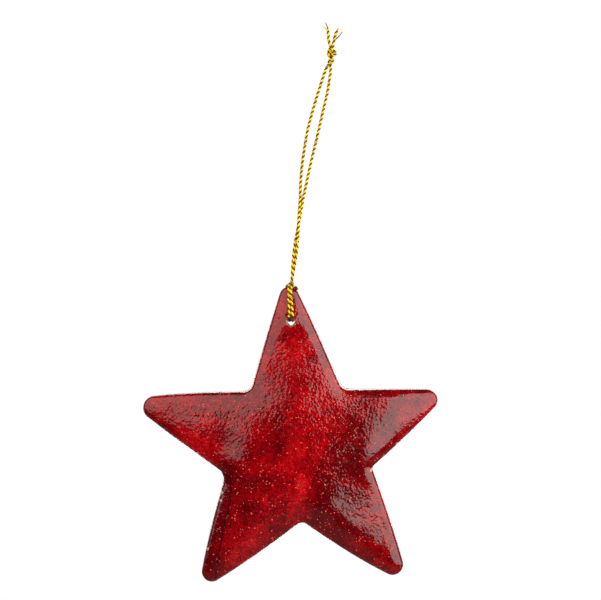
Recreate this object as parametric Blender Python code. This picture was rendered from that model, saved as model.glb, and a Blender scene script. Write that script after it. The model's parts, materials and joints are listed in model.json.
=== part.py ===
"""Capiz star ornament: a hollow puffy star of red capiz leaves on a gold cord loop.

The part hangs as it does in use, +Z up and its front towards -Y. The origin is the hang
point, just under the knot, inside the top of the cord loop. Sizes are in metres.
"""

import math
from collections import namedtuple

import bmesh
import bpy
import numpy as np

# Star, seen from the front. Its plan sizes are shares of its width. A corner's angle runs
# clockwise from straight up, and its reach is where its two edges would meet unrounded.
STAR_WIDTH = 0.1015
Tip = namedtuple("Tip", "name angle reach rounding bulge_before bulge_after")
Notch = namedtuple("Notch", "angle reach rounding")
TIPS = (
    Tip("top", 357.2, 0.6030, 0.0335, 0.0020, 0.0039),
    Tip("right", 69.4, 0.5626, 0.0365, 0.0020, 0.0039),
    Tip("lower_right", 140.2, 0.6020, 0.0365, 0.0030, 0.0079),
    Tip("lower_left", 214.3, 0.5911, 0.0345, 0.0049, 0.0049),
    Tip("left", 286.0, 0.6069, 0.0414, 0.0020, 0.0049),
)
NOTCHES = (
    Notch(38.2, 0.2562, 0.0384),
    Notch(103.6, 0.2690, 0.0128),
    Notch(175.2, 0.2483, 0.0217),
    Notch(249.8, 0.2562, 0.0424),
    Notch(321.6, 0.2493, 0.0305),
)
TIP_STEPS = 6
NOTCH_STEPS = 4
EDGE_STEPS = 4

# Where the star hangs: its centre sideways and its top tip.
STAR_CENTER_X = -0.0117
STAR_TOP_Z = -0.0763

# How far a face swells. The edge rolls in by EDGE_ROLL and stands EDGE_RISE at the tips. Over
# that lies a wide lens, round at its middle and level with the tips at LENS_REACH, and a puff
# that follows each arm. Reaches and rounding are shares of the star's width.
EDGE_ROLL = 0.0012
EDGE_RISE = 0.0012
LENS_RISE = 0.0072
LENS_REACH = 0.60
LENS_ROUNDING = 0.335
PUFF_RISE = 0.0030
PUFF_POWER = 0.80
FACE_ROLL_STEPS = 3
INNER_ROLL_STEPS = 2
FACE_RINGS = (0.86, 0.66, 0.43, 0.20)
INNER_RINGS = (0.72, 0.38)

# Layers, from the outside in.
LEAF_THICKNESS = 0.0005
GLUE_GAP = 0.0003
SHELL_WALL = 0.0009
SEAM_THICKNESS = 0.0006
SEAM_GAP = 0.0003
SEAM_WIDTH = 0.0022
LEAF_JOINT = 0.0003

# Hanging hole in the top arm, as shares of the star's width from its centre.
HOLE_X = -0.0158
HOLE_Z = 0.4286
HOLE_DIAMETER = 0.0025
HOLE_SIDES = 24

# Back leaves: the middle one reaches this far towards each notch.
BACK_CENTER_REACH = 0.1626

# Seams between the front leaves, as (x, z) shares of the star's width from its centre. A seam
# that runs off the star ends in a point past its edge.
TOP_SEAM = ((-0.1921, 0.2463), (-0.0778, 0.2936), (0.0138, 0.2995), (0.0887, 0.2818), (0.1842, 0.2512))
NOTCH_RIGHT_SEAM = ((0.1842, 0.2207), (0.1704, 0.1833), (0.1911, 0.1222), (0.1557, 0.0424))
RIGHT_SEAM = ((0.1557, 0.0424), (0.3034, -0.0887))
CENTER_LOWER_RIGHT_SEAM = (
    (0.1557, 0.0424),
    (0.1271, 0.0118),
    (0.0867, -0.0345),
    (0.0729, -0.0670),
    (0.0512, -0.1261),
    (0.0384, -0.1734),
)
BOTTOM_SEAM = ((0.0384, -0.1734), (0.0177, -0.2926))
CENTER_LOWER_LEFT_SEAM = ((0.0384, -0.1734), (-0.0433, -0.1665), (-0.1350, -0.1222), (-0.2207, -0.0887))
LEFT_NOTCH_SEAM = ((-0.2207, -0.0887), (-0.2778, -0.1084))
CENTER_LEFT_SEAM = ((-0.2207, -0.0887), (-0.1961, -0.0236), (-0.1695, 0.0611), (-0.1527, 0.1458))
UPPER_LEFT_SEAM = ((-0.1527, 0.1458), (-0.1695, 0.2177))
LEFT_ARM_SEAM = ((-0.1527, 0.1458), (-0.2365, 0.1172), (-0.3251, 0.1084), (-0.4276, 0.1261), (-0.6108, 0.1695))
STRIP_SEAM = (
    (-0.2847, -0.1153),
    (-0.2187, -0.1399),
    (-0.2217, -0.1803),
    (-0.2305, -0.2158),
    (-0.2453, -0.2759),
    (-0.2640, -0.3833),
    (-0.2818, -0.4897),
)
PAST_EDGE = 0.74

# Cord.
CORD_DIAMETER = 0.0010
CORD_GAP = 0.0003
CORD_STEP = 0.0026
HITCH_STEP = 0.0013
END_CHAMFER = 0.7
LEFT_STRAND = (
    (0.00020, 0.0, 0.0021),
    (-0.00020, 0.0, 0.0012),
    (-0.00075, 0.0, 0.0002),
    (-0.00130, 0.0, -0.0011),
    (-0.00250, 0.0, -0.0046),
    (-0.00390, 0.0, -0.0089),
    (-0.00530, 0.0, -0.0135),
    (-0.00640, 0.0, -0.0174),
    (-0.00760, 0.0, -0.0221),
    (-0.00860, 0.0, -0.0277),
    (-0.00935, 0.0, -0.0326),
    (-0.00985, 0.0, -0.0374),
    (-0.01020, 0.0, -0.0425),
    (-0.01053, 0.0, -0.0470),
)
RIGHT_STRAND = (
    (0.00155, 0.0, 0.0021),
    (0.00150, 0.0, 0.0012),
    (0.00115, 0.0, 0.0002),
    (0.00075, 0.0, -0.0013),
    (0.00020, 0.0, -0.0043),
    (-0.00070, 0.0, -0.0086),
    (-0.00160, 0.0, -0.0127),
    (-0.00260, 0.0, -0.0169),
    (-0.00370, 0.0, -0.0217),
    (-0.00490, 0.0, -0.0268),
    (-0.00620, 0.0, -0.0322),
    (-0.00740, 0.0, -0.0375),
    (-0.00850, 0.0, -0.0430),
    (-0.00925, 0.0, -0.0470),
)
LEFT_TAIL = ((0.0002, 0.0, 0.0067), (-0.0003, 0.0, 0.0084), (-0.0005, 0.0, 0.0102), (-0.0007, 0.0, 0.0124))
RIGHT_TAIL = ((0.0011, 0.0, 0.0067), (0.0014, 0.0, 0.0084), (0.0018, 0.0, 0.0102), (0.0024, 0.0, 0.0118))
NECK_TOP = (-0.00990, 0.0, -0.0473)
NECK_BOTTOM = (-0.01315, 0.0, -0.0745)
NECK_TURNS = 1.0
NECK_POINTS = 16
PAIR_PITCH = 0.00128
KNOT_CENTER = (0.0006, 0.0, 0.0043)
KNOT_RADIUS = 0.00095
KNOT_LOBE = 0.00052
KNOT_CORD = 0.00078
KNOT_POINTS = 40
KNOT_OPENING = 0.16

# Hitch: the collar's middle line over the star's tip, and the places along its legs as
# shares of the way from the hole to the tip. The legs stay clear of the star as it rocks.
COLLAR_RISE = 0.0011
COLLAR_HALF_WIDTH = 0.0019
COLLAR_FRONT = 0.0026
LEG_STATIONS = (0.93, 0.76, 0.58, 0.40, 0.22)
NOD_GAP = 0.0005
ROCK_DEGREES = (-10, -5, 0, 5, 10)

LACQUER_RED = (0.34, 0.004, 0.012, 1.0)
SHELL_RED = (0.20, 0.006, 0.010, 1.0)
SEAM_RED = (0.12, 0.004, 0.008, 1.0)
CORD_GOLD = (0.72, 0.45, 0.06, 1.0)


def clear_scene():
    """Start from nothing."""
    for old in list(bpy.data.objects):
        bpy.data.objects.remove(old, do_unlink=True)


def material(name, color, metallic, roughness):
    """A plain Principled material."""
    made = bpy.data.materials.new(name)
    made.use_nodes = True
    shader = made.node_tree.nodes["Principled BSDF"]
    shader.inputs["Base Color"].default_value = color
    shader.inputs["Metallic"].default_value = metallic
    shader.inputs["Roughness"].default_value = roughness
    return made


def unit(v):
    """The vector at length one."""
    return v / np.linalg.norm(v)


def turned(v, angle):
    """A plan vector turned anticlockwise."""
    c, s = math.cos(angle), math.sin(angle)
    return np.array([v[0] * c - v[1] * s, v[0] * s + v[1] * c])


def corner_point(angle, reach):
    """The plan place of a corner, from the star's centre, in shares of its width."""
    a = math.radians(angle)
    return np.array([reach * math.sin(a), reach * math.cos(a)])


def corner_fillets():
    """Each corner's rounding: start, end, centre, radius and the directions in and out."""
    corners = []
    for tip, notch in zip(TIPS, NOTCHES):
        corners.append((corner_point(tip.angle, tip.reach), tip.rounding, TIP_STEPS))
        corners.append((corner_point(notch.angle, notch.reach), notch.rounding, NOTCH_STEPS))
    bulges = []
    for i, tip in enumerate(TIPS):
        bulges += [tip.bulge_after, TIPS[(i + 1) % len(TIPS)].bulge_before]
    fillets = []
    for i, (point, radius, steps) in enumerate(corners):
        to_last = corners[i - 1][0] - point
        to_next = corners[(i + 1) % len(corners)][0] - point
        bend_last = 4 * bulges[i - 1] / np.linalg.norm(to_last)
        bend_next = 4 * bulges[i] / np.linalg.norm(to_next)
        back = turned(unit(to_last), -bend_last)
        ahead = turned(unit(to_next), bend_next)
        half = 0.5 * math.acos(float(np.clip(back @ ahead, -1, 1)))
        tangent = radius / math.tan(half)
        centre = point + unit(back + ahead) * (radius / math.sin(half))
        fillets.append((point + back * tangent, point + ahead * tangent, centre, radius, -back, ahead, steps))
    return fillets


def star_outline():
    """The star's edge as plan points, clockwise from the top tip: arcs joined by flat curves."""
    fillets = corner_fillets()
    points = []
    for i, (start, end, centre, radius, _, ahead, steps) in enumerate(fillets):
        first = math.atan2(*(start - centre)[::-1])
        last = math.atan2(*(end - centre)[::-1])
        sweep = (last - first + math.pi) % (2 * math.pi) - math.pi
        for k in range(steps):
            a = first + sweep * k / (steps - 1)
            points.append(centre + radius * np.array([math.cos(a), math.sin(a)]))
        arrive, heading = fillets[(i + 1) % len(fillets)][0], fillets[(i + 1) % len(fillets)][4]
        handle = np.linalg.norm(arrive - end) / 3
        curve = (end, end + ahead * handle, arrive - heading * handle, arrive)
        for k in range(1, EDGE_STEPS):
            t = k / EDGE_STEPS
            weights = ((1 - t) ** 3, 3 * t * (1 - t) ** 2, 3 * t * t * (1 - t), t**3)
            points.append(sum(w * c for w, c in zip(weights, curve)))
    return STAR_WIDTH * np.array(points)


def star_center():
    """Where the star's centre hangs."""
    return (STAR_CENTER_X, 0.0, STAR_TOP_Z - float(star_outline()[:, 1].max()))


def hole_place():
    """The hole's plan place, from the star's centre."""
    return STAR_WIDTH * HOLE_X, STAR_WIDTH * HOLE_Z


def inward(outline):
    """The direction into the star at each point of its edge."""
    along = np.roll(outline, -1, axis=0) - np.roll(outline, 1, axis=0)
    along /= np.linalg.norm(along, axis=1)[:, None]
    return np.stack([along[:, 1], -along[:, 0]], axis=1)


def openness(points, outline):
    """How far each plan point is from the edge, averaged over every direction."""
    spokes = outline[None] - points[:, None]
    ahead = np.roll(spokes, -1, axis=1)
    near = np.linalg.norm(spokes, axis=2)
    far = np.roll(near, -1, axis=1)
    cross = ahead[..., 0] * spokes[..., 1] - ahead[..., 1] * spokes[..., 0]
    dot = (ahead * spokes).sum(axis=2)
    weight = cross / (near * far + dot) * (1 / near + 1 / far)
    return 2 * math.pi / weight.sum(axis=1)


def dome(points, outline):
    """How far the face stands over its edge plane at each plan point, past the rolled edge."""
    full = openness(np.zeros((1, 2)), outline)[0]
    puff = PUFF_RISE * (openness(points, outline) / full) ** PUFF_POWER
    rounding = STAR_WIDTH * LENS_ROUNDING
    fall = np.hypot(np.linalg.norm(points, axis=1), rounding) - rounding
    whole_fall = math.hypot(STAR_WIDTH * LENS_REACH, rounding) - rounding
    return EDGE_RISE + LENS_RISE * (1 - fall / whole_fall) + puff


def edge_plane():
    """How far a shell's edge stands from the star's middle plane."""
    return SEAM_THICKNESS / 2 + SEAM_GAP


def center_depth():
    """How far the middle of a face stands from the star's middle plane."""
    return edge_plane() + EDGE_RISE + LENS_RISE + PUFF_RISE


def outer_grid(outline, roll_steps, body_rings):
    """The front's outer face: rings of points from the edge to the centre, (x, y, z)."""
    inner = inward(outline)
    rings = [np.stack([outline[:, 0], np.full(len(outline), -edge_plane()), outline[:, 1]], axis=1)]
    for k in range(1, roll_steps + 1):
        a = 0.5 * math.pi * k / roll_steps
        plan = outline + inner * EDGE_ROLL * (1 - math.cos(a))
        rise = math.sin(a) * dome(plan, outline)
        rings.append(np.stack([plan[:, 0], -edge_plane() - rise, plan[:, 1]], axis=1))
    rolled = rings[-1][:, [0, 2]]
    for share in body_rings:
        plan = rolled * share
        rings.append(np.stack([plan[:, 0], -edge_plane() - dome(plan, outline), plan[:, 1]], axis=1))
    return np.array(rings), np.array([0.0, -center_depth(), 0.0])


def sunk(rings, centre, outline, depth):
    """The face moved inwards by a depth along its own normals."""
    across = np.roll(rings, -1, axis=1) - np.roll(rings, 1, axis=1)
    last = np.broadcast_to(centre, rings[:1].shape)
    padded = np.concatenate([rings[:1], rings, last])
    inwards = padded[2:] - padded[:-2]
    normals = np.cross(across, inwards)
    normals /= np.linalg.norm(normals, axis=2)[..., None]
    flat = inward(outline)
    normals[0] = np.stack([-flat[:, 0], 0 * flat[:, 0], -flat[:, 1]], axis=1)
    normals[1:] *= np.where(normals[1:, :, 1:2] > 0, -1, 1)
    return rings - normals * depth, centre + np.array([0.0, depth, 0.0])


def grid_faces(rings, columns, start, flip):
    """Faces of a ringed face whose centre point comes after its rings."""
    faces = []
    for r in range(rings - 1):
        for c in range(columns):
            n = (c + 1) % columns
            a = start + r * columns
            faces.append((a + c, a + n, a + columns + n))
            faces.append((a + c, a + columns + n, a + columns + c))
    top = start + (rings - 1) * columns
    for c in range(columns):
        faces.append((top + c, top + (c + 1) % columns, start + rings * columns))
    return [f[::-1] for f in faces] if flip else faces


def solid(name, points, faces, finish):
    """A mesh object with its faces pointing out."""
    mesh = bpy.data.meshes.new(name)
    mesh.from_pydata([tuple(p) for p in points], [], faces)
    work = bmesh.new()
    work.from_mesh(mesh)
    bmesh.ops.recalc_face_normals(work, faces=work.faces)
    work.to_mesh(mesh)
    work.free()
    mesh.shade_smooth()
    mesh.set_sharp_from_angle(angle=math.radians(50))
    mesh.materials.append(finish)
    made = bpy.data.objects.new(name, mesh)
    bpy.context.collection.objects.link(made)
    return made


def dish(name, outside, inside, side, finish):
    """A closed dish between two ringed faces; side is 1 for the front and -1 for the back."""
    columns = outside[0].shape[1]
    points = np.concatenate(
        [outside[0].reshape(-1, 3), outside[1][None], inside[0].reshape(-1, 3), inside[1][None]]
    )
    points = points * np.array([1.0, side, 1.0])
    second = len(outside[0]) * columns + 1
    faces = grid_faces(len(outside[0]), columns, 0, False)
    faces += grid_faces(len(inside[0]), columns, second, True)
    for c in range(columns):
        n = (c + 1) % columns
        faces.append((n, c, second + c, second + n))
    made = solid(name, points, faces, finish)
    made.location = star_center()
    return made


def cutter(name, points, faces):
    """A closed shape that only cuts others."""
    made = solid(name, points, faces, bpy.data.materials["cut_guide"])
    made.hide_render = True
    made.display_type = "WIRE"
    return made


def prism_cutter(name, polygon, low, high):
    """A cutter over a plan polygon, from one depth to another."""
    count = len(polygon)
    points = [(x, low, z) for x, z in polygon] + [(x, high, z) for x, z in polygon]
    faces = [tuple(range(count)), tuple(range(count, 2 * count))[::-1]]
    faces += [(i, (i + 1) % count, count + (i + 1) % count, count + i) for i in range(count)]
    made = cutter(name, points, faces)
    made.location = star_center()
    return made


def hole_cutter():
    """The drill that goes right through the top arm."""
    x, z = hole_place()
    polygon = [
        (
            x + 0.5 * HOLE_DIAMETER * math.cos(2 * math.pi * k / HOLE_SIDES),
            z + 0.5 * HOLE_DIAMETER * math.sin(2 * math.pi * k / HOLE_SIDES),
        )
        for k in range(HOLE_SIDES)
    ]
    return prism_cutter("hole_drill", polygon, -2 * center_depth(), 2 * center_depth())


def cut(piece, tool, operation):
    """Cut a piece with another shape."""
    step = piece.modifiers.new(tool.name, "BOOLEAN")
    step.solver = "EXACT"
    step.operation = operation
    step.object = tool


def drawn_in(polygon, distance):
    """A plan polygon with every side moved inwards."""
    points = np.array(polygon)
    area = 0.5 * float((points[:, 0] * np.roll(points[:, 1], -1) - points[:, 1] * np.roll(points[:, 0], -1)).sum())
    turn = 1.0 if area > 0 else -1.0
    sides = np.roll(points, -1, axis=0) - points
    sides /= np.linalg.norm(sides, axis=1)[:, None]
    inner = turn * np.stack([-sides[:, 1], sides[:, 0]], axis=1)
    moved = []
    for i in range(len(points)):
        a, b = inner[i - 1], inner[i]
        moved.append(points[i] + (a + b) * distance / (1 + float(a @ b)))
    return moved


def joined(*seams):
    """One closed polygon from seams that follow each other, at the star's real size."""
    polygon = []
    for seam in seams:
        for point in seam:
            if not polygon or math.dist(point, polygon[-1]) > 1e-5:
                polygon.append(point)
    if math.dist(polygon[0], polygon[-1]) < 1e-5:
        polygon.pop()
    return [(STAR_WIDTH * x, STAR_WIDTH * z) for x, z in polygon]


def past(*angles):
    """Points well past the edge, at angles clockwise from straight up."""
    return tuple(tuple(corner_point(a, PAST_EDGE)) for a in angles)


def front_regions():
    """The plan polygon of each front leaf."""
    strip_start, strip_end = STRIP_SEAM[0], STRIP_SEAM[-1]
    return {
        "front_leaf_top": joined(TOP_SEAM, past(20, 357, 334)),
        "front_leaf_right": joined(NOTCH_RIGHT_SEAM, RIGHT_SEAM, past(102, 69, 42)),
        "front_leaf_lower_right": joined(
            RIGHT_SEAM[::-1], CENTER_LOWER_RIGHT_SEAM, BOTTOM_SEAM, past(176, 140, 108)
        ),
        "front_leaf_lower_left": joined(
            STRIP_SEAM[1:], past(211, 184), BOTTOM_SEAM[::-1], CENTER_LOWER_LEFT_SEAM
        ),
        "front_strip_lower_left": joined((strip_start,), STRIP_SEAM[1:-1], (strip_end,), past(214, 230)),
        "front_leaf_left_lower": joined(
            LEFT_NOTCH_SEAM[::-1], CENTER_LEFT_SEAM, LEFT_ARM_SEAM, past(272, 254)
        ),
        "front_leaf_left_upper": joined(UPPER_LEFT_SEAM[::-1], LEFT_ARM_SEAM, past(297, 318)),
        "front_leaf_center": joined(
            TOP_SEAM,
            NOTCH_RIGHT_SEAM,
            CENTER_LOWER_RIGHT_SEAM,
            CENTER_LOWER_LEFT_SEAM,
            CENTER_LEFT_SEAM,
            UPPER_LEFT_SEAM,
        ),
    }


def back_regions():
    """The plan polygon of each back leaf: one on each arm and one in the middle."""
    regions = {}
    middle = [tuple(corner_point(n.angle, BACK_CENTER_REACH)) for n in NOTCHES]
    for i, tip in enumerate(TIPS):
        outer = past(NOTCHES[i - 1].angle, tip.angle, NOTCHES[i].angle)
        regions["back_leaf_" + tip.name] = joined((middle[i - 1],), outer, (middle[i],))
    regions["back_leaf_center"] = joined(middle)
    return regions


def build_leaves(outside, inside, side, regions, drill, finish):
    """One leaf for each region of a face."""
    for name, polygon in regions.items():
        leaf = dish(name, outside, inside, side, finish)
        low, high = sorted((-side * 2 * center_depth(), 0.0))
        region = prism_cutter(name + "_region", drawn_in(polygon, 0.5 * LEAF_JOINT), low, high)
        cut(leaf, region, "INTERSECT")
        if name.endswith("_top"):
            cut(leaf, drill, "DIFFERENCE")


def build_edge_seam(outline, finish):
    """The strip of filler between the two shells, flush with the star's edge."""
    count = len(outline)
    inner = outline + inward(outline) * SEAM_WIDTH
    points = []
    for loop, depth in ((outline, -1), (outline, 1), (inner, 1), (inner, -1)):
        points += [(x, 0.5 * depth * SEAM_THICKNESS, z) for x, z in loop]
    faces = []
    for k in range(4):
        for i in range(count):
            n = (i + 1) % count
            a, b = k * count, (k + 1) % 4 * count
            faces.append((a + i, a + n, b + n, b + i))
    made = solid("edge_seam", points, faces, finish)
    made.location = star_center()


def half_thickness(x, z, outline):
    """How far the front stands from the middle plane at a plan point: nothing past the edge."""
    point = np.array([[x, z]])
    if openness(point, outline)[0] <= 0:
        return 0.0
    sides = np.roll(outline, -1, axis=0) - outline
    share = np.clip(((point - outline) * sides).sum(axis=1) / (sides * sides).sum(axis=1), 0, 1)
    away = float(np.linalg.norm(outline + share[:, None] * sides - point, axis=1).min())
    roll = min(away / EDGE_ROLL, 1.0)
    return edge_plane() + math.sqrt(1 - (1 - roll) ** 2) * float(dome(point, outline)[0])


def smooth_route(route, step):
    """Points a step apart on a smooth curve through the route's points."""
    p = np.array(route, float)
    p = np.concatenate([[2 * p[0] - p[1]], p, [2 * p[-1] - p[-2]]])
    fine = []
    for i in range(1, len(p) - 2):
        for t in np.linspace(0, 1, 24, endpoint=False):
            a, b, c, d = p[i - 1 : i + 3]
            fine.append(
                0.5 * (2 * b + (c - a) * t + (2 * a - 5 * b + 4 * c - d) * t**2 + (3 * b - a - 3 * c + d) * t**3)
            )
    fine.append(p[-2])
    fine = np.array(fine)
    along = np.concatenate([[0], np.cumsum(np.linalg.norm(np.diff(fine, axis=0), axis=1))])
    count = max(3, round(along[-1] / step) + 1)
    places = np.linspace(0, along[-1], count)
    return np.stack([np.interp(places, along, fine[:, k]) for k in range(3)], axis=1)


def tube(name, points, diameter, finish, chamfer=END_CHAMFER):
    """A cord as a round tube with capped ends."""
    curve = bpy.data.curves.new(name, "CURVE")
    curve.dimensions = "3D"
    curve.bevel_depth = 0.5 * diameter
    curve.bevel_resolution = 2
    curve.use_fill_caps = True
    spline = curve.splines.new("POLY")
    spline.points.add(len(points) - 1)
    for point, place in zip(spline.points, points):
        point.co = (*place, 1.0)
    spline.points[0].radius = chamfer
    spline.points[-1].radius = chamfer
    curve.materials.append(finish)
    made = bpy.data.objects.new(name, curve)
    bpy.context.collection.objects.link(made)
    return made


def build_neck(finish):
    """The two strands twisted round each other between the loop and the hitch."""
    top, bottom = np.array(NECK_TOP), np.array(NECK_BOTTOM)
    down = unit(bottom - top)
    front = np.array([0.0, -1.0, 0.0])
    side = unit(np.cross(down, front))
    for name, sign in (("neck_strand_left", -1), ("neck_strand_right", 1)):
        points = []
        for k in range(NECK_POINTS):
            t = k / (NECK_POINTS - 1)
            a = 2 * math.pi * NECK_TURNS * t
            offset = (side * math.cos(a) + front * math.sin(a)) * sign * 0.5 * PAIR_PITCH
            points.append(top + (bottom - top) * t + offset)
        tube(name, points, CORD_DIAMETER, finish)


def hitch_half(side, outline):
    """The hitch from the neck to the front of the collar, on one side, from the hole."""
    hole_x, hole_z = hole_place()
    center_x, _, center_z = star_center()
    cord = CORD_DIAMETER
    across = side * 0.5 * PAIR_PITCH
    clear = CORD_GAP + 0.5 * cord

    def off_face(height, face):
        turns = [turned((across, height), math.radians(a)) for a in ROCK_DEGREES]
        return face * (max(half_thickness(hole_x + x, hole_z + z, outline) for x, z in turns) + clear)

    tip = float(outline[:, 1].max()) - hole_z
    collar = tip + COLLAR_RISE
    stations = [share * tip for share in LEG_STATIONS]
    top = NECK_BOTTOM[2] - NOD_GAP - (center_z + hole_z)
    lean = NECK_BOTTOM[0] - (center_x + hole_x)
    entry = 0.05 * HOLE_DIAMETER
    wall = half_thickness(hole_x, hole_z, outline)
    points = [(across + lean, 0.0, top), (across + 0.7 * lean, -0.4 * cord, top - 0.6 * cord)]
    points += [(across, -1.3 * cord, collar), (across, -2.5 * cord, collar - 0.8 * cord)]
    points += [(across, off_face(z, -1), z) for z in stations]
    points += [(across, -wall - 0.95 * clear, 1.1 * cord), (across, -wall + 0.7 * cord, entry)]
    points += [(across, 0.0, entry)]
    points += [(across, wall - 0.7 * cord, entry), (across, wall + 0.95 * clear, 1.1 * cord)]
    points += [(across, off_face(z, 1), z) for z in stations[:1:-1]]
    points += [(side * cord, off_face(stations[1], 1), stations[1])]
    points += [(side * 1.5 * cord, off_face(stations[0], 1), stations[0])]
    points += [(side * 0.95 * COLLAR_HALF_WIDTH, 1.6 * cord, collar - 0.1 * cord)]
    points += [(side * COLLAR_HALF_WIDTH, 0.2 * cord, collar + 0.1 * cord)]
    points += [(side * 0.95 * COLLAR_HALF_WIDTH, -1.2 * cord, collar)]
    points += [(side * 1.2 * cord, 0.3 * cord - COLLAR_FRONT, collar - 0.3 * cord)]
    return points


def build_hitch(outline, finish):
    """One unbroken strand: down the front, through the hole, up the back and round the pair."""
    left = hitch_half(-1, outline)
    right = hitch_half(1, outline)
    hole_x, hole_z = hole_place()
    tip = float(outline[:, 1].max()) - hole_z
    middle = [(0.0, -COLLAR_FRONT, tip + COLLAR_RISE - 0.5 * CORD_DIAMETER)]
    route = np.array(left + middle + right[::-1])
    route += np.array(star_center()) + np.array([hole_x, 0.0, hole_z])
    tube("hitch", smooth_route(route, HITCH_STEP), CORD_DIAMETER, finish)


def build_knot(finish):
    """The knot drawn tight above the loop, one strand that passes through itself."""
    points = []
    for k in range(KNOT_POINTS):
        t = math.pi / 2 + KNOT_OPENING + (2 * math.pi - 2 * KNOT_OPENING) * k / (KNOT_POINTS - 1)
        reach = KNOT_RADIUS + KNOT_LOBE * math.cos(3 * t)
        points.append(
            (
                KNOT_CENTER[0] + reach * math.cos(2 * t),
                KNOT_CENTER[1] + 1.15 * KNOT_LOBE * math.sin(3 * t),
                KNOT_CENTER[2] + reach * math.sin(2 * t),
            )
        )
    tube("knot", points, KNOT_CORD, finish)


def build_cord(outline, finish):
    """Every stretch of the cord."""
    for name, route in (("loop_strand_left", LEFT_STRAND), ("loop_strand_right", RIGHT_STRAND)):
        tube(name, smooth_route(route, CORD_STEP), CORD_DIAMETER, finish)
    for name, route in (("tail_left", LEFT_TAIL), ("tail_right", RIGHT_TAIL)):
        tube(name, smooth_route(route, CORD_DIAMETER), CORD_DIAMETER, finish)
    build_neck(finish)
    build_hitch(outline, finish)
    build_knot(finish)


def build_star(outline):
    """Shells, seam and leaves."""
    material("cut_guide", (0.5, 0.5, 0.5, 1.0), 0.0, 1.0)
    lacquer = material("red_capiz", LACQUER_RED, 0.0, 0.08)
    board = material("red_shell", SHELL_RED, 0.0, 0.5)
    drill = hole_cutter()
    face = outer_grid(outline, FACE_ROLL_STEPS, FACE_RINGS)
    coarse = outer_grid(outline, INNER_ROLL_STEPS, INNER_RINGS)
    leaf_back = sunk(*coarse, outline, LEAF_THICKNESS)
    shell_front = sunk(*coarse, outline, LEAF_THICKNESS + GLUE_GAP)
    shell_back = sunk(*coarse, outline, LEAF_THICKNESS + GLUE_GAP + SHELL_WALL)
    for name, side in (("front_shell", 1), ("back_shell", -1)):
        shell = dish(name, shell_front, shell_back, side, board)
        cut(shell, drill, "DIFFERENCE")
    build_leaves(face, leaf_back, 1, front_regions(), drill, lacquer)
    build_leaves(face, leaf_back, -1, back_regions(), drill, lacquer)
    build_edge_seam(outline, material("seam_filler", SEAM_RED, 0.0, 0.3))


def main():
    """Build the whole ornament."""
    clear_scene()
    outline = star_outline()
    build_star(outline)
    build_cord(outline, material("gold_cord", CORD_GOLD, 0.7, 0.35))


main()
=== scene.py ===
"""Looks of the capiz star ornament: lacquered leaves on a puffy star, hung by a gold cord.

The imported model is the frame. Everything is in metres, +Z up, the front towards -Y and the
origin at the hang point inside the top of the cord loop.
"""

from __future__ import annotations

import json
import logging
import math
from dataclasses import dataclass, field, fields
from enum import Enum
from typing import NamedTuple, Sequence, Union

import bmesh
import bpy
import numpy as np
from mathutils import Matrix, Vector, noise
from mathutils.geometry import delaunay_2d_cdt

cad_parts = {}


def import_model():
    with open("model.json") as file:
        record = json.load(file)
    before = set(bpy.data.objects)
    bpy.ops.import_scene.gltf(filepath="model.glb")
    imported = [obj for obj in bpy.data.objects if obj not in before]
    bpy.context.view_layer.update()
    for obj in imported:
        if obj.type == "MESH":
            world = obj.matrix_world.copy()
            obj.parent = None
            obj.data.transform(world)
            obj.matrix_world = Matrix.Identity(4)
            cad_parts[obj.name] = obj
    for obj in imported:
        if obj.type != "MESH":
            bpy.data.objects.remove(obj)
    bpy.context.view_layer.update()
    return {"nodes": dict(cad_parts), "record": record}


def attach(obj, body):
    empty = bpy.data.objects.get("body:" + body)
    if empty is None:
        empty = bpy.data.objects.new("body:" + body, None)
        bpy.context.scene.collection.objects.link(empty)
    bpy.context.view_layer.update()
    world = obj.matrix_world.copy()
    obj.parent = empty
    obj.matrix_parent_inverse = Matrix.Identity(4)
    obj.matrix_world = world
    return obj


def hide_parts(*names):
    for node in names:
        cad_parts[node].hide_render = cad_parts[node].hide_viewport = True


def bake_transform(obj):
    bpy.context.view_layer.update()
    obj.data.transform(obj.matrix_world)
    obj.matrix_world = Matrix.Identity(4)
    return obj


LOG = logging.getLogger("capiz_star")
MM = 0.001
PIXEL = 0.345 * MM
IMAGE_WIDTH = 601
IMAGE_HEIGHT = 600
HANG_PIXEL = (329.8, 65.5)
LEAF_MARKS = ("tone", "seam", "rim", "edge", "grain", "chip", "wall")
WHITE = (1.0, 1.0, 1.0)

Array = np.ndarray
Point = tuple[float, float, float]
Color = tuple[float, float, float]
Loop = tuple[int, ...]
Piece = bpy.types.Object
Socket = bpy.types.NodeSocket
Tree = bpy.types.NodeTree
Value = Union[Socket, float, Sequence[float]]


class Body(str, Enum):
    """The rigid bodies that pieces ride on."""

    HANGER = "hanger"
    NECK = "neck"
    HITCH = "hitch"
    STAR = "star"


class Slot(str, Enum):
    """The record's material slots."""

    CAPIZ = "red_capiz"
    SHELL = "red_shell"
    SEAM = "seam_filler"
    CORD = "gold_cord"


class Face(Enum):
    """The two faces of the star; the value is the sign of their outward way along -Y."""

    FRONT = 1
    BACK = -1


# --------------------------------------------------------------------------- node building


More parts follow.
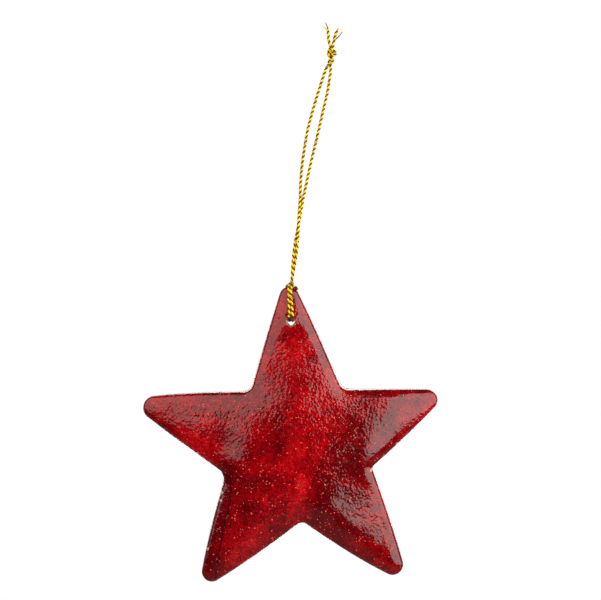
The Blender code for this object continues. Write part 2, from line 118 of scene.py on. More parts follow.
class Graph:
    """Adds nodes to a tree and joins them."""

    def __init__(self, tree: Tree) -> None:
        """Work on this tree."""
        self.tree = tree

    def feed(self, node: bpy.types.Node, values: dict) -> None:
        """Link or set inputs by name or number; plain colours get their alpha here."""
        for key, value in values.items():
            socket = node.inputs[key]
            if isinstance(value, Socket):
                self.tree.links.new(value, socket)
            else:
                socket.default_value = (*value, 1.0) if socket.type == "RGBA" else value

    def node(self, kind: str, values: dict | None = None, **settings: object) -> bpy.types.Node:
        """Add a node.

        Args:
            kind: the node's type name.
            values: inputs by name or number, each a socket or a plain value.
            settings: the node's own properties.

        Returns:
            The node.
        """
        made = self.tree.nodes.new(kind)
        for key, value in settings.items():
            setattr(made, key, value)
        self.feed(made, values or {})
        return made

    def group(self, tree: Tree, **values: Value) -> bpy.types.bpy_prop_collection:
        """The outputs of a node group that is fed these values."""
        return self.node("ShaderNodeGroup", values, node_tree=tree).outputs

    def attribute(self, name: str) -> Socket:
        """A mesh attribute as a number."""
        return self.node("ShaderNodeAttribute", attribute_name=name).outputs["Fac"]

    def place(self) -> Socket:
        """The object's own coordinates."""
        return self.node("ShaderNodeTexCoord").outputs["Object"]

    def math(self, operation: str, first: Value, second: Value = 0.0, third: Value = 0.0) -> Socket:
        """One sum on two or three values."""
        values = {0: first, 1: second, 2: third}
        return self.node("ShaderNodeMath", values, operation=operation).outputs[0]

    def plus(self, first: Value, second: Value) -> Socket:
        """The sum of two values."""
        return self.math("ADD", first, second)

    def times(self, first: Value, second: Value) -> Socket:
        """The product of two values."""
        return self.math("MULTIPLY", first, second)

    def times_plus(self, first: Value, second: Value, third: Value) -> Socket:
        """The product of two values, plus a third."""
        return self.math("MULTIPLY_ADD", first, second, third)

    def most(self, first: Value, second: Value) -> Socket:
        """The larger of two values."""
        return self.math("MAXIMUM", first, second)

    def rest(self, value: Value) -> Socket:
        """One minus a value."""
        return self.math("SUBTRACT", 1.0, value)

    def vector(self, operation: str, first: Value, second: Value) -> Socket:
        """One sum on two vectors."""
        return self.node("ShaderNodeVectorMath", {0: first, 1: second}, operation=operation).outputs[0]

    def distance(self, first: Value, second: Value) -> Socket:
        """How far one place is from another."""
        made = self.node("ShaderNodeVectorMath", {0: first, 1: second}, operation="DISTANCE")
        return made.outputs["Value"]

    def scaled(self, vector: Value, scale: Value) -> Socket:
        """A vector times a number."""
        return self.node("ShaderNodeVectorMath", {0: vector, "Scale": scale}, operation="SCALE").outputs[0]

    def ramp(
        self, value: Value, low: Value, high: Value, to_low: float = 0.0, to_high: float = 1.0
    ) -> Socket:
        """A value mapped smoothly from one range to another and held there."""
        values = {"Value": value, "From Min": low, "From Max": high, "To Min": to_low, "To Max": to_high}
        made = self.node("ShaderNodeMapRange", values, clamp=True, interpolation_type="SMOOTHSTEP")
        return made.outputs[0]

    def blend(self, share: Value, first: Value, second: Value) -> Socket:
        """Two colours mixed by a share."""
        return self.node("ShaderNodeMix", {0: share, 6: first, 7: second}, data_type="RGBA").outputs[2]

    def noise(
        self, place: Socket, scale: Value, detail: float = 2.0, rough: float = 0.5, twist: float = 0.0
    ) -> Socket:
        """Noise in 0..1 at a place."""
        values = {"Vector": place, "Scale": scale, "Detail": detail, "Roughness": rough, "Distortion": twist}
        return self.node("ShaderNodeTexNoise", values).outputs[0]

    def bump(self, height: Socket, depth: float, strength: float = 1.0) -> Socket:
        """The normal of a skin with this relief."""
        values = {"Strength": strength, "Distance": depth, "Height": height}
        return self.node("ShaderNodeBump", values).outputs[0]


def new_group(name: str, inputs: dict[str, float]) -> tuple[Graph, bpy.types.bpy_prop_collection]:
    """Start a shader node group.

    Args:
        name: the group's name.
        inputs: number sockets and their values; "Vector" is always the first input.

    Returns:
        The group's builder and its inputs.
    """
    tree = bpy.data.node_groups.new(name, "ShaderNodeTree")
    tree.interface.new_socket("Vector", in_out="INPUT", socket_type="NodeSocketVector")
    for key, value in inputs.items():
        tree.interface.new_socket(key, in_out="INPUT", socket_type="NodeSocketFloat").default_value = value
    graph = Graph(tree)
    return graph, graph.node("NodeGroupInput").outputs


def end_group(graph: Graph, outputs: dict[str, Socket]) -> Tree:
    """Close a shader node group, which puts these values out under these names."""
    for key in outputs:
        graph.tree.interface.new_socket(key, in_out="OUTPUT", socket_type="NodeSocketFloat")
    graph.feed(graph.node("NodeGroupOutput"), outputs)
    return graph.tree


class SharedNodes:
    """Node groups that more than one finish uses."""

    def __init__(self) -> None:
        """Build each group once."""
        self.relief = self._relief()
        self.flecks = self._flecks()
        self.mottling = self._mottling()

    @staticmethod
    def _relief() -> Tree:
        """The fine skin of brushed lacquer: orange peel over slow waves, as a height."""
        g, given = new_group("lacquer_relief", {"Peel": 1150.0, "Waves": 480.0, "Patches": 60.0})
        place = given["Vector"]
        peel = g.noise(place, given["Peel"], 0.8, 0.45)
        waves = g.noise(place, given["Waves"], 1.0, 0.4, 0.4)
        patches = g.ramp(g.noise(place, given["Patches"], 1.0), 0.38, 0.62, 0.35, 1.0)
        return end_group(g, {"Height": g.times_plus(peel, patches, g.times(waves, 0.7))})

    @staticmethod
    def _flecks() -> Tree:
        """Scattered round specks of about a set size, on a share of the places."""
        g, given = new_group("flecks", {"Scale": 500.0, "Size": 0.12, "Share": 0.3, "Crowds": 45.0})
        place = given["Vector"]
        cells = g.node("ShaderNodeTexVoronoi", {"Vector": place, "Scale": given["Scale"]}).outputs
        drawn = g.node("ShaderNodeSeparateColor", {0: cells["Color"]}).outputs
        size = g.times(given["Size"], g.ramp(drawn[1], 0.0, 1.0, 0.55, 1.15))
        dot = g.rest(g.ramp(cells["Distance"], g.times(size, 0.55), size))
        crowd = g.ramp(g.noise(place, given["Crowds"], 2.0, 0.6), 0.35, 0.7, 0.25, 1.7)
        chosen = g.math("LESS_THAN", drawn[0], g.times(given["Share"], crowd))
        return end_group(g, {"Mask": g.times(dot, chosen)})

    @staticmethod
    def _mottling() -> Tree:
        """Clouded dye in shell: broad clouds, finer curdling, faint growth lines and grit."""
        g, given = new_group("dye_mottling", {"Clouds": 62.0, "Curd": 300.0, "Grit": 1500.0})
        place = given["Vector"]
        sway = g.node("ShaderNodeTexNoise", {"Vector": place, "Scale": 90.0, "Detail": 3.0}).outputs[1]
        warped = g.vector("ADD", place, g.scaled(sway, 0.012))
        bands = {"Vector": warped, "Scale": 210.0, "Distortion": 5.0, "Detail": 3.0, "Detail Scale": 1.6}
        masks = {
            "Clouds": g.noise(place, given["Clouds"], 3.0, 0.55, 0.25),
            "Curd": g.noise(place, given["Curd"], 6.0, 0.70, 0.30),
            "Lines": g.node("ShaderNodeTexWave", bands, bands_direction="DIAGONAL").outputs[1],
            "Grit": g.noise(place, given["Grit"], 3.0, 0.75),
        }
        return end_group(g, masks)


# --------------------------------------------------------------------------- finishes


def new_material(name: str) -> tuple[bpy.types.Material, Graph, bpy.types.Node]:
    """A material with its builder and its Principled shader."""
    made = bpy.data.materials.new(name)
    made.use_nodes = True
    return made, Graph(made.node_tree), made.node_tree.nodes["Principled BSDF"]


@dataclass(frozen=True)
class LacquerFinish:
    """Dyed capiz under clear gloss lacquer, with painted glints and painted shade in its colour."""

    name: str
    deep: Color = (0.085, 0.0003, 0.0018)
    body: Color = (0.245, 0.0003, 0.0022)
    bright: Color = (0.43, 0.0020, 0.0050)
    flame: Color = (0.68, 0.020, 0.014)
    # painted glint: the pale orange-pink laid on the raised specks
    speck: Color = (0.92, 0.11, 0.060)
    # painted glint colour for the pale spots at the edge
    chip: Color = (0.58, 0.33, 0.29)
    # dark of the joints, and painted shade in the pinholes
    joint: Color = (0.030, 0.0, 0.001)
    pooled: Color = (0.070, 0.0003, 0.0015)
    lip: Color = (0.40, 0.20, 0.12)
    lip_shade: Color = (0.10, 0.045, 0.012)
    sawn: Color = (0.030, 0.008, 0.008)
    offset: Point = (0.0, 0.0, 0.0)
    pit_offset: Point = (0.31, 0.17, 0.05)
    peel_depth: float = 0.000125
    pit_depth: float = -1.2
    speck_height: float = 0.9
    speck_share: float = 0.46
    index: float = 1.5

    def build(self, shared: SharedNodes) -> bpy.types.Material:
        """Make the material from the shared node groups and the leaf's attributes."""
        made, g, shader = new_material(self.name)
        place = g.vector("ADD", g.place(), self.offset)
        marks = {key: g.attribute(key) for key in LEAF_MARKS}
        specks = g.group(shared.flecks, Vector=place, Scale=1000.0, Size=0.26, Share=self.speck_share)["Mask"]
        aside = g.vector("ADD", place, self.pit_offset)
        pits = g.group(shared.flecks, Vector=aside, Scale=330.0, Size=0.13, Share=0.10)["Mask"]
        height = g.times(g.group(shared.relief, Vector=place)["Height"], marks["grain"])
        height = g.times_plus(pits, self.pit_depth, height)
        height = g.times_plus(specks, self.speck_height, height)
        broad = g.ramp(g.noise(place, 150.0), 0.35, 0.7, 0.065, 0.10)
        fine = g.ramp(g.noise(place, 900.0, 2.0, 0.6), 0.48, 0.66, 0.0, 0.10)
        dull = g.most(g.times(marks["edge"], 0.55), g.times(marks["wall"], 0.22))
        looks = {
            "Base Color": self._color(g, shared, place, marks, specks, pits),
            "Normal": g.bump(height, self.peel_depth),
            "Roughness": g.most(g.plus(broad, fine), dull),
            "IOR": self.index,
        }
        g.feed(shader, looks)
        return made

    def _color(
        self,
        g: Graph,
        shared: SharedNodes,
        place: Socket,
        marks: dict[str, Socket],
        specks: Socket,
        pits: Socket,
    ) -> Socket:
        """The dye's colour, with painted glints on the specks and edge spots, and painted shade in the
        pinholes and valleys.

        Args:
            g: the material's builder.
            shared: the node groups that finishes share.
            place: where on the leaf.
            marks: the leaf's attributes.
            specks: where raised specks lie, which get painted glints.
            pits: where pinholes lie, which are darkened as painted shade.

        Returns:
            The colour.
        """
        dye = g.group(shared.mottling, Vector=place)
        # dye clouds plus the tone mark, which carries painted shade too
        clouds = g.plus(dye["Clouds"], marks["tone"])
        mixed = g.times_plus(dye["Curd"], 0.34, g.times_plus(clouds, 0.50, -0.190))
        mixed = g.times_plus(dye["Grit"], 0.52, mixed)
        ragged = g.math("SUBTRACT", g.noise(place, 1100.0), 0.5)
        stain = g.blend(g.ramp(g.noise(place, 2100.0), 0.42, 0.62), self.lip, self.lip_shade)
        color = self.deep
        for share, tone in (
            (g.ramp(mixed, 0.40, 0.54), self.body),
            (g.ramp(mixed, 0.50, 0.64), self.bright),
            (g.times(g.ramp(mixed, 0.60, 0.72), 0.7), self.flame),
            (g.times(g.ramp(dye["Lines"], 0.45, 0.95), 0.25), self.deep),
            # painted glints on the raised specks
            (g.times(specks, 0.8), self.speck),
            # dark joints along the seams, and painted shade in the pinholes
            (g.most(pits, marks["seam"]), self.joint),
            # darker on the steep wall by the edge
            (g.times(marks["wall"], 0.85), self.pooled),
            (g.ramp(g.times_plus(ragged, 1.7, marks["rim"]), 0.35, 0.60), stain),
            # painted glints: pale ragged spots at the edge
            (g.ramp(g.times_plus(ragged, 1.5, marks["chip"]), 0.42, 0.70), self.chip),
            # near-black at the very edge, where the face rolls down to the edge plane
            (marks["edge"], self.sawn),
        ):
            color = g.blend(share, color, tone)
        return color


class Shade(NamedTuple):
    """A dark place in the cord: x and z, where it is full and where it ends, and how dark it is."""

    x: float
    z: float
    near: float
    far: float
    share: float


@dataclass(frozen=True)
class YarnFinish:
    """A ply of metallic yarn: foil strip wound on a thread."""

    name: str
    foil: Color
    amber: Color
    # painted shade: the dark of the winding grooves, of the crevice between the plies and of the shades
    groove: Color
    metal: float
    rough: float
    windings: float = 26000.0
    lean: float = 25.13
    shades: tuple[Shade, ...] = (
        Shade(-0.01330, -0.08760, 0.0009, 0.0015, 1.0),
        Shade(-0.01165, -0.07670, 0.0004, 0.0010, 0.9),
        Shade(-0.01310, -0.07530, 0.0006, 0.0015, 0.70),
    )

    def build(self) -> bpy.types.Material:
        """Make the material, which follows the ply's attributes and is dark in the shades."""
        made, g, shader = new_material(self.name)
        along, around = g.attribute("along"), g.attribute("around")
        strands = g.math("SINE", g.times_plus(along, self.windings, g.times(around, self.lean)))
        place = {0: g.times(along, 1000.0), 1: g.times(around, 2.0)}
        place = g.node("ShaderNodeCombineXYZ", place).outputs[0]
        color = g.blend(g.ramp(g.noise(place, 0.9, 2.0, 0.6), 0.50, 0.66), self.foil, self.amber)
        # painted shade in the winding grooves that the relief cuts
        color = g.blend(g.times(g.ramp(strands, 0.2, 1.0), 0.35), color, self.groove)
        # painted shade in the crevice between the plies, where the crest is low
        color = g.blend(g.ramp(g.attribute("crest"), 0.42, 0.68), self.groove, color)
        flat = g.vector("MULTIPLY", g.place(), (1.0, 0.0, 1.0))
        for shade in self.shades:
            reach = g.ramp(g.distance(flat, (shade.x, 0.0, shade.z)), shade.far, shade.near)
            color = g.blend(g.times(reach, shade.share), color, self.groove)
        looks = {
            "Base Color": color,
            "Normal": g.bump(g.times(strands, -0.5), 0.00005, 0.7),
            "Metallic": self.metal,
            "Specular IOR Level": self.metal,
            "Roughness": self.rough,
        }
        g.feed(shader, looks)
        return made


@dataclass(frozen=True)
class BoardFinish:
    """Matt dyed moulding or filler, seen only in the joints, the hole and at the edge."""

    name: str
    tone: Color
    streak: Color
    rough: float = 0.5
    coat: float = 0.0

    def build(self, shared: SharedNodes) -> bpy.types.Material:
        """Make the material from the shared groups."""
        made, g, shader = new_material(self.name)
        place = g.place()
        curd = g.group(shared.mottling, Vector=place, Curd=700.0)["Curd"]
        skin = g.group(shared.relief, Vector=place, Peel=1800.0)["Height"]
        looks = {
            "Base Color": g.blend(g.ramp(curd, 0.4, 0.65), self.tone, self.streak),
            "Normal": g.bump(skin, 0.00005, 0.8),
            "Roughness": self.rough,
            "Coat Weight": self.coat,
            "Coat Roughness": 0.1,
        }
        g.feed(shader, looks)
        return made


# --------------------------------------------------------------------------- plain meshes


def unit(v: Array) -> Array:
    """The vector at length one."""
    return v / np.linalg.norm(v)


def turned(v: Sequence[float], angle: float) -> Array:
    """A plan vector turned anticlockwise."""
    c, s = math.cos(angle), math.sin(angle)
    return np.array([v[0] * c - v[1] * s, v[0] * s + v[1] * c])


def bell(away: Array, width: float) -> Array:
    """One at no distance, falling softly to nothing past the width."""
    return np.exp(-((away / width) ** 2))


def share_of(away: Array, whole: float) -> Array:
    """A distance as a share of a whole, held in 0..1."""
    return np.clip(away / whole, 0, 1)


def distances_along(points: Array) -> Array:
    """How far along a line each of its points is."""
    return np.concatenate([[0], np.cumsum(np.linalg.norm(np.diff(points, axis=0), axis=1))])


def in_metres(*points: Point) -> tuple[Point, ...]:
    """Points that are written in millimetres."""
    return tuple((x * MM, y * MM, z * MM) for x, y, z in points)


def new_object(name: str, data: bpy.types.ID) -> Piece:
    """An object in the scene with this data."""
    made = bpy.data.objects.new(name, data)
    bpy.context.scene.collection.objects.link(made)
    return made


def mesh_object(name: str, points: Array, faces: Sequence[Sequence[int]]) -> Piece:
    """A mesh object in the scene."""
    mesh = bpy.data.meshes.new(name)
    mesh.from_pydata(np.asarray(points, float).tolist(), [], [tuple(f) for f in faces])
    return new_object(name, mesh)


def mark(mesh: bpy.types.Mesh, name: str, values: Array) -> None:
    """Give each point of a mesh a number."""
    mesh.attributes.new(name, "FLOAT", "POINT").data.foreach_set("value", values.astype(np.float32))


def smooth(mesh: bpy.types.Mesh) -> None:
    """Shade every face smooth."""
    mesh.polygons.foreach_set("use_smooth", np.ones(len(mesh.polygons), bool))


def smooth_route(route: Sequence[Sequence[float]], step: float) -> Array:
    """Points a step apart on a smooth curve through the route's points."""
    p = np.array(route, float)
    p = np.concatenate([[2 * p[0] - p[1]], p, [2 * p[-1] - p[-2]]])
    fine = []
    for i in range(1, len(p) - 2):
        a, b, c, d = p[i - 1 : i + 3]
        square, cube = 2 * a - 5 * b + 4 * c - d, 3 * b - a - 3 * c + d
        for t in np.linspace(0, 1, 24, endpoint=False):
            fine.append(0.5 * (2 * b + (c - a) * t + square * t**2 + cube * t**3))
    fine.append(p[-2])
    fine = np.array(fine)
    along = distances_along(fine)
    places = np.linspace(0, along[-1], max(3, round(along[-1] / step) + 1))
    return np.stack([np.interp(places, along, fine[:, k]) for k in range(3)], axis=1)


def batches(points: Array, size: int) -> list[Array]:
    """The points in runs of about this size, to keep the work small."""
    return np.array_split(points, max(1, len(points) // size))


def distance_to(points: Array, line: Array, closed: bool) -> Array:
    """How far each plan point is from a line of plan points."""
    starts = line if closed else line[:-1]
    ends = np.roll(line, -1, axis=0) if closed else line[1:]
    sides = ends - starts
    lengths = (sides * sides).sum(axis=1)
    out = []
    for part in batches(points, 2000):
        offset = part[:, None] - starts[None]
        share = np.clip((offset * sides[None]).sum(axis=2) / lengths, 0, 1)
        out.append(np.linalg.norm(offset - share[..., None] * sides[None], axis=2).min(axis=1))
    return np.concatenate(out)


def inside(points: Array, polygon: Array) -> Array:
    """Which plan points lie inside a polygon."""
    x1, z1 = polygon[:, 0], polygon[:, 1]
    x2, z2 = np.roll(x1, -1), np.roll(z1, -1)
    rise = np.where(z2 == z1, 1e-12, z2 - z1)
    out = []
    for part in batches(points, 4000):
        x, z = part[:, :1], part[:, 1:]
        crosses = ((z1 > z) != (z2 > z)) & (x < (x2 - x1) * (z - z1) / rise + x1)
        out.append(crosses.sum(axis=1) % 2 == 1)
    return np.concatenate(out)


# --------------------------------------------------------------------------- the star's form


class Corner(NamedTuple):
    """A corner in shares of the star's width, and the bulge of the edge that follows it.

    The angle runs clockwise from up.
    """

    name: str
    angle: float
    reach: float
    rounding: float
    bulge: float

    def at(self, reach: float) -> Array:
        """The plan place this far out towards the corner."""
        a = math.radians(self.angle)
        return np.array([reach * math.sin(a), reach * math.cos(a)])


CORNERS = (
    Corner("top", 357.2, 0.6030, 0.0335, 0.0039),
    Corner("upper_right_notch", 38.2, 0.2562, 0.0384, 0.0020),
    Corner("right", 69.4, 0.5626, 0.0365, 0.0039),
    Corner("right_notch", 103.6, 0.2690, 0.0128, 0.0030),
    Corner("lower_right", 140.2, 0.6020, 0.0365, 0.0079),
    Corner("bottom_notch", 175.2, 0.2483, 0.0217, 0.0049),
    Corner("lower_left", 214.3, 0.5911, 0.0345, 0.0049),
    Corner("left_notch", 249.8, 0.2562, 0.0424, 0.0020),
    Corner("left", 286.0, 0.6069, 0.0414, 0.0049),
    Corner("upper_left_notch", 321.6, 0.2493, 0.0305, 0.0020),
)
TIPS, NOTCHES = CORNERS[::2], CORNERS[1::2]


@dataclass
class StarForm:
    """The puffy star as numbers: its edge, and how far each face stands off its middle plane."""

    width: float = 0.1015
    center_x: float = -0.0117
    top_z: float = -0.0763
    edge_plane: float = 0.0006
    edge_roll: float = 0.0012
    edge_rise: float = 0.0012
    lens_rise: float = 0.0072
    lens_reach: float = 0.60
    lens_rounding: float = 0.335
    puff_rise: float = 0.0030
    puff_power: float = 0.80
    hole_x: float = -0.0158
    hole_z: float = 0.4286
    coarse: Array = field(init=False)
    full_openness: float = field(init=False)

    def __post_init__(self) -> None:
        """Keep a plain outline to measure from."""
        self.coarse = self.outline(8, 6, 6)
        self.full_openness = float(self.openness(np.zeros((1, 2)))[0])

    @property
    def center(self) -> Array:
        """Where the star's centre hangs."""
        return np.array([self.center_x, 0.0, self.top_z - float(self.coarse[:, 1].max())])

    @property
    def hole(self) -> Array:
        """The hole's plan place, from the star's centre."""
        return self.width * np.array([self.hole_x, self.hole_z])

    def outline(self, tip_steps: int, notch_steps: int, edge_steps: int) -> Array:
        """The edge as plan points, clockwise from the top tip: arcs joined by flat curves.

        Args:
            tip_steps: points on each tip's arc.
            notch_steps: points on each notch's arc.
            edge_steps: parts of each edge between two arcs.

        Returns:
            The plan points.
        """
        places = [corner.at(corner.reach) for corner in CORNERS]
        arcs = []
        for i, (corner, place) in enumerate(zip(CORNERS, places)):
            to_last = places[i - 1] - place
            to_next = places[(i + 1) % len(places)] - place
            back = turned(unit(to_last), -4 * CORNERS[i - 1].bulge / np.linalg.norm(to_last))
            ahead = turned(unit(to_next), 4 * corner.bulge / np.linalg.norm(to_next))
            half = 0.5 * math.acos(float(np.clip(back @ ahead, -1, 1)))
            tangent = corner.rounding / math.tan(half)
            centre = place + unit(back + ahead) * (corner.rounding / math.sin(half))
            arcs.append((place + back * tangent, place + ahead * tangent, centre, back, ahead))
        points = []
        for i, (start, end, centre, _, ahead) in enumerate(arcs):
            steps = notch_steps if i % 2 else tip_steps
            first = math.atan2(*(start - centre)[::-1])
            last = math.atan2(*(end - centre)[::-1])
            sweep = (last - first + math.pi) % (2 * math.pi) - math.pi
            for k in range(steps):
                a = first + sweep * k / (steps - 1)
                points.append(centre + CORNERS[i].rounding * np.array([math.cos(a), math.sin(a)]))
            arrive, _, _, back, _ = arcs[(i + 1) % len(arcs)]
            handle = np.linalg.norm(arrive - end) / 3
            curve = (end, end + ahead * handle, arrive + back * handle, arrive)
            for k in range(1, edge_steps):
                t = k / edge_steps
                weights = ((1 - t) ** 3, 3 * t * (1 - t) ** 2, 3 * t * t * (1 - t), t**3)
                points.append(sum(w * c for w, c in zip(weights, curve)))
        return self.width * np.array(points)

    def openness(self, points: Array) -> Array:
        """How far each plan point is from the edge, averaged over every direction."""
        out = []
        for part in batches(points, 4000):
            spokes = self.coarse[None] - part[:, None]
            ahead = np.roll(spokes, -1, axis=1)
            near = np.linalg.norm(spokes, axis=2)
            far = np.roll(near, -1, axis=1)
            cross = ahead[..., 0] * spokes[..., 1] - ahead[..., 1] * spokes[..., 0]
            dot = (ahead * spokes).sum(axis=2)
            weight = cross / (near * far + dot + 1e-15) * (1 / near + 1 / far)
            out.append(2 * math.pi / weight.sum(axis=1))
        return np.concatenate(out)

    def dome(self, points: Array) -> Array:
        """How far the face stands over its edge plane at each plan point, past the rolled edge."""
        open_share = np.clip(self.openness(points) / self.full_openness, 0, None)
        puff = self.puff_rise * open_share**self.puff_power
        rounding = self.width * self.lens_rounding
        fall = np.hypot(np.linalg.norm(points, axis=1), rounding) - rounding
        whole_fall = math.hypot(self.width * self.lens_reach, rounding) - rounding
        return self.edge_rise + self.lens_rise * (1 - fall / whole_fall) + puff

    def depth(self, points: Array, away: Array) -> Array:
        """How far the face stands from the middle plane, where each point is this far from the edge."""
        roll = share_of(away, self.edge_roll)
        return self.edge_plane + np.sqrt(1 - (1 - roll) ** 2) * self.dome(points)


# --------------------------------------------------------------------------- leaves


class Seam(NamedTuple):
    """A joint between leaves, in shares of the star's width, and how plainly it shows."""

    points: tuple[tuple[float, float], ...]
    shown: float


class Leaf(NamedTuple):
    """A leaf: its CAD node, a plan point on it in shares of the width, its dye and its rise."""

    node: str
    seed: tuple[float, float]
    tone: float
    rise: float = 0.0


class Spot(NamedTuple):
    """A soft round place on a face: where and how wide in shares of the width, and how strong."""

    x: float
    z: float
    radius: float
    amount: float


Spots = tuple[Spot, ...]


def spots(*rows: tuple[float, float, float, float]) -> Spots:
    """A table of spots."""
    return tuple(Spot(*row) for row in rows)


FRONT_DENTS = spots(
    (-0.241, 0.010, 0.0633, -0.54), (-0.424, 0.114, 0.0471, -0.24), (-0.164, 0.049, 0.0494, 0.20),
    (-0.202, -0.049, 0.0727, 0.89), (0.086, 0.165, 0.0600, -0.36), (0.266, -0.026, 0.0707, 0.73),
    (0.298, 0.196, 0.1281, 0.74), (0.329, 0.218, 0.0451, 0.40), (0.280, -0.086, 0.0457, 0.81),
    (0.184, -0.120, 0.0604, -0.33), (0.233, -0.219, 0.0719, -0.39), (0.098, -0.198, 0.0458, 0.74),
    (0.302, -0.352, 0.0465, -0.35), (-0.106, 0.392, 0.0548, 0.58), (0.128, 0.257, 0.0459, 0.42),
    (0.066, 0.413, 0.0486, 0.42), (-0.074, 0.189, 0.0467, -0.34), (0.085, 0.019, 0.0526, -0.05),
    (0.148, -0.272, 0.0605, 0.81), (-0.140, 0.293, 0.0520, 1.00), (-0.008, 0.422, 0.0381, 0.24),
    (0.108, 0.339, 0.0432, 0.56), (0.305, -0.384, 0.1281, 0.57), (0.286, -0.283, 0.0501, -0.41),
    (-0.053, 0.438, 0.0125, -0.24), (-0.037, 0.457, 0.0100, 0.16), (-0.045, 0.416, 0.0095, 0.14),
)
# Dye clouds as spots; some dark spots are painted shade, along the valley from the right notch towards the
# middle and in the fold by the left notch.
FRONT_CLOUDS_AND_SHADE = spots(
    (0.028, -0.129, 0.031, 0.16), (-0.094, -0.167, 0.041, 0.06), (-0.213, -0.122, 0.031, 0.06),
    (-0.326, 0.078, 0.041, 0.03), (0.184, -0.330, 0.048, 0.07), (0.031, 0.350, 0.027, 0.06),
    (-0.050, 0.299, 0.027, 0.05), (-0.064, 0.092, 0.024, -0.10), (-0.115, -0.102, 0.034, -0.08),
    (0.150, 0.0, 0.034, -0.10), (0.184, -0.068, 0.075, -0.14), (-0.230, -0.048, 0.027, -0.10),
    (0.075, -0.075, 0.041, -0.08), (0.014, 0.095, 0.070, -0.10), (-0.139, -0.245, 0.080, 0.07),
    # these rows hold the painted shade of the valley by the right notch and of the fold by the left notch
    (0.094, -0.043, 0.014, -0.16), (0.125, -0.052, 0.014, -0.12), (0.165, -0.055, 0.016, -0.08),
    (-0.059, 0.015, 0.020, -0.13), (-0.185, -0.097, 0.022, -0.10), (-0.225, -0.085, 0.020, -0.10),
    (0.205, -0.085, 0.030, -0.08), (-0.048, 0.440, 0.020, -0.06),
)
# Pale spots at the edge, in shares of the width: painted glints.
FRONT_EDGE_GLINTS = spots(
    (-0.2522, -0.1462, 0.0070, 1.0), (-0.2536, -0.1733, 0.0055, 1.0), (-0.2984, -0.3399, 0.0070, 1.0),
    (-0.3311, -0.0136, 0.0045, 1.0), (-0.2916, -0.0442, 0.0045, 1.0), (0.2556, -0.0680, 0.0065, 1.0),
    (0.3416, 0.0184, 0.0050, 1.0),
)
FRONT_CALM = spots((0.200, -0.055, 0.070, 0.65), (0.165, 0.090, 0.055, 0.40), (0.120, -0.150, 0.050, 0.30))
FRONT_SEAMS = (
    Seam(((-0.26, 0.215), (-0.1921, 0.2463), (-0.0778, 0.2936), (0.0138, 0.2995), (0.0887, 0.2818),
          (0.1842, 0.2512), (0.25, 0.23)), 0.12),
    Seam(((0.205, 0.236), (0.1842, 0.2207), (0.1704, 0.1833), (0.1911, 0.1222), (0.1557, 0.0424)), 0.0),
    Seam(((0.1557, 0.0424), (0.3034, -0.0887)), 0.08),
    Seam(((0.1557, 0.0424), (0.1271, 0.0118), (0.0867, -0.0345), (0.0729, -0.0670), (0.0512, -0.1261),
          (0.0384, -0.1734)), 0.35),
    Seam(((0.0384, -0.1734), (0.0150, -0.3100)), 0.0),
    Seam(((0.0384, -0.1734), (-0.0433, -0.1665), (-0.1350, -0.1222), (-0.2207, -0.0887)), 0.05),
    Seam(((-0.2207, -0.0887), (-0.3000, -0.1160)), 0.15),
    Seam(((-0.2207, -0.0887), (-0.1961, -0.0236), (-0.1695, 0.0611), (-0.1527, 0.1458)), 0.06),
    Seam(((-0.1527, 0.1458), (-0.1695, 0.2300)), 0.25),
    Seam(((-0.1527, 0.1458), (-0.2365, 0.1172), (-0.3251, 0.1084), (-0.4276, 0.1261),
          (-0.6300, 0.1750)), 0.22),
    Seam(((-0.2207, -0.0887), (-0.2187, -0.1399), (-0.2217, -0.1803), (-0.2305, -0.2158), (-0.2453, -0.2759),
          (-0.2640, -0.3833), (-0.2860, -0.5200)), 1.0),
)
FRONT_LEAVES = (
    Leaf("front_leaf_top", (0.00, 0.38), 0.02),
    Leaf("front_leaf_right", (0.35, 0.12), -0.02),
    Leaf("front_leaf_lower_right", (0.25, -0.30), -0.01, 0.00010),
    Leaf("front_leaf_lower_left", (-0.12, -0.28), 0.0),
    Leaf("front_strip_lower_left", (-0.30, -0.42), -0.05),
    Leaf("front_leaf_left_upper", (-0.32, 0.16), 0.01),
    Leaf("front_leaf_left_lower", (-0.32, 0.03), 0.0),
    Leaf("front_leaf_center", (0.0, 0.05), 0.03),
)


def back_seams() -> tuple[Seam, ...]:
    """The back's seams: a middle leaf with straight sides, and a line out to each notch."""
    reach, past, shown = 0.1626, 0.03, 0.25
    middle = [tuple(notch.at(reach)) for notch in NOTCHES]
    out = [tuple(notch.at(notch.reach + past)) for notch in NOTCHES]
    return tuple(Seam(ends, shown) for ends in (*zip(middle[-1:] + middle, middle), *zip(middle, out)))


def back_leaves() -> tuple[Leaf, ...]:
    """The back's leaves: one on each arm and one in the middle."""
    tones, reach = (0.01, -0.02, 0.02, -0.01, 0.0), 0.33
    arms = [Leaf(f"back_leaf_{tip.name}", tuple(tip.at(reach)), tone) for tip, tone in zip(TIPS, tones)]
    return (*arms, Leaf("back_leaf_center", (0.0, 0.0), 0.02))


@dataclass
class Plan:
    """Plan points of a face, and for each how far it is from the edge, the seams and the hole."""

    points: Array
    away: Array
    on_edge: Array
    sunk: Array
    shown: Array
    to_hole: Array

    def part(self, used: Array) -> Plan:
        """A copy with only the points of these numbers."""
        return Plan(*(getattr(self, entry.name)[used] for entry in fields(self)))


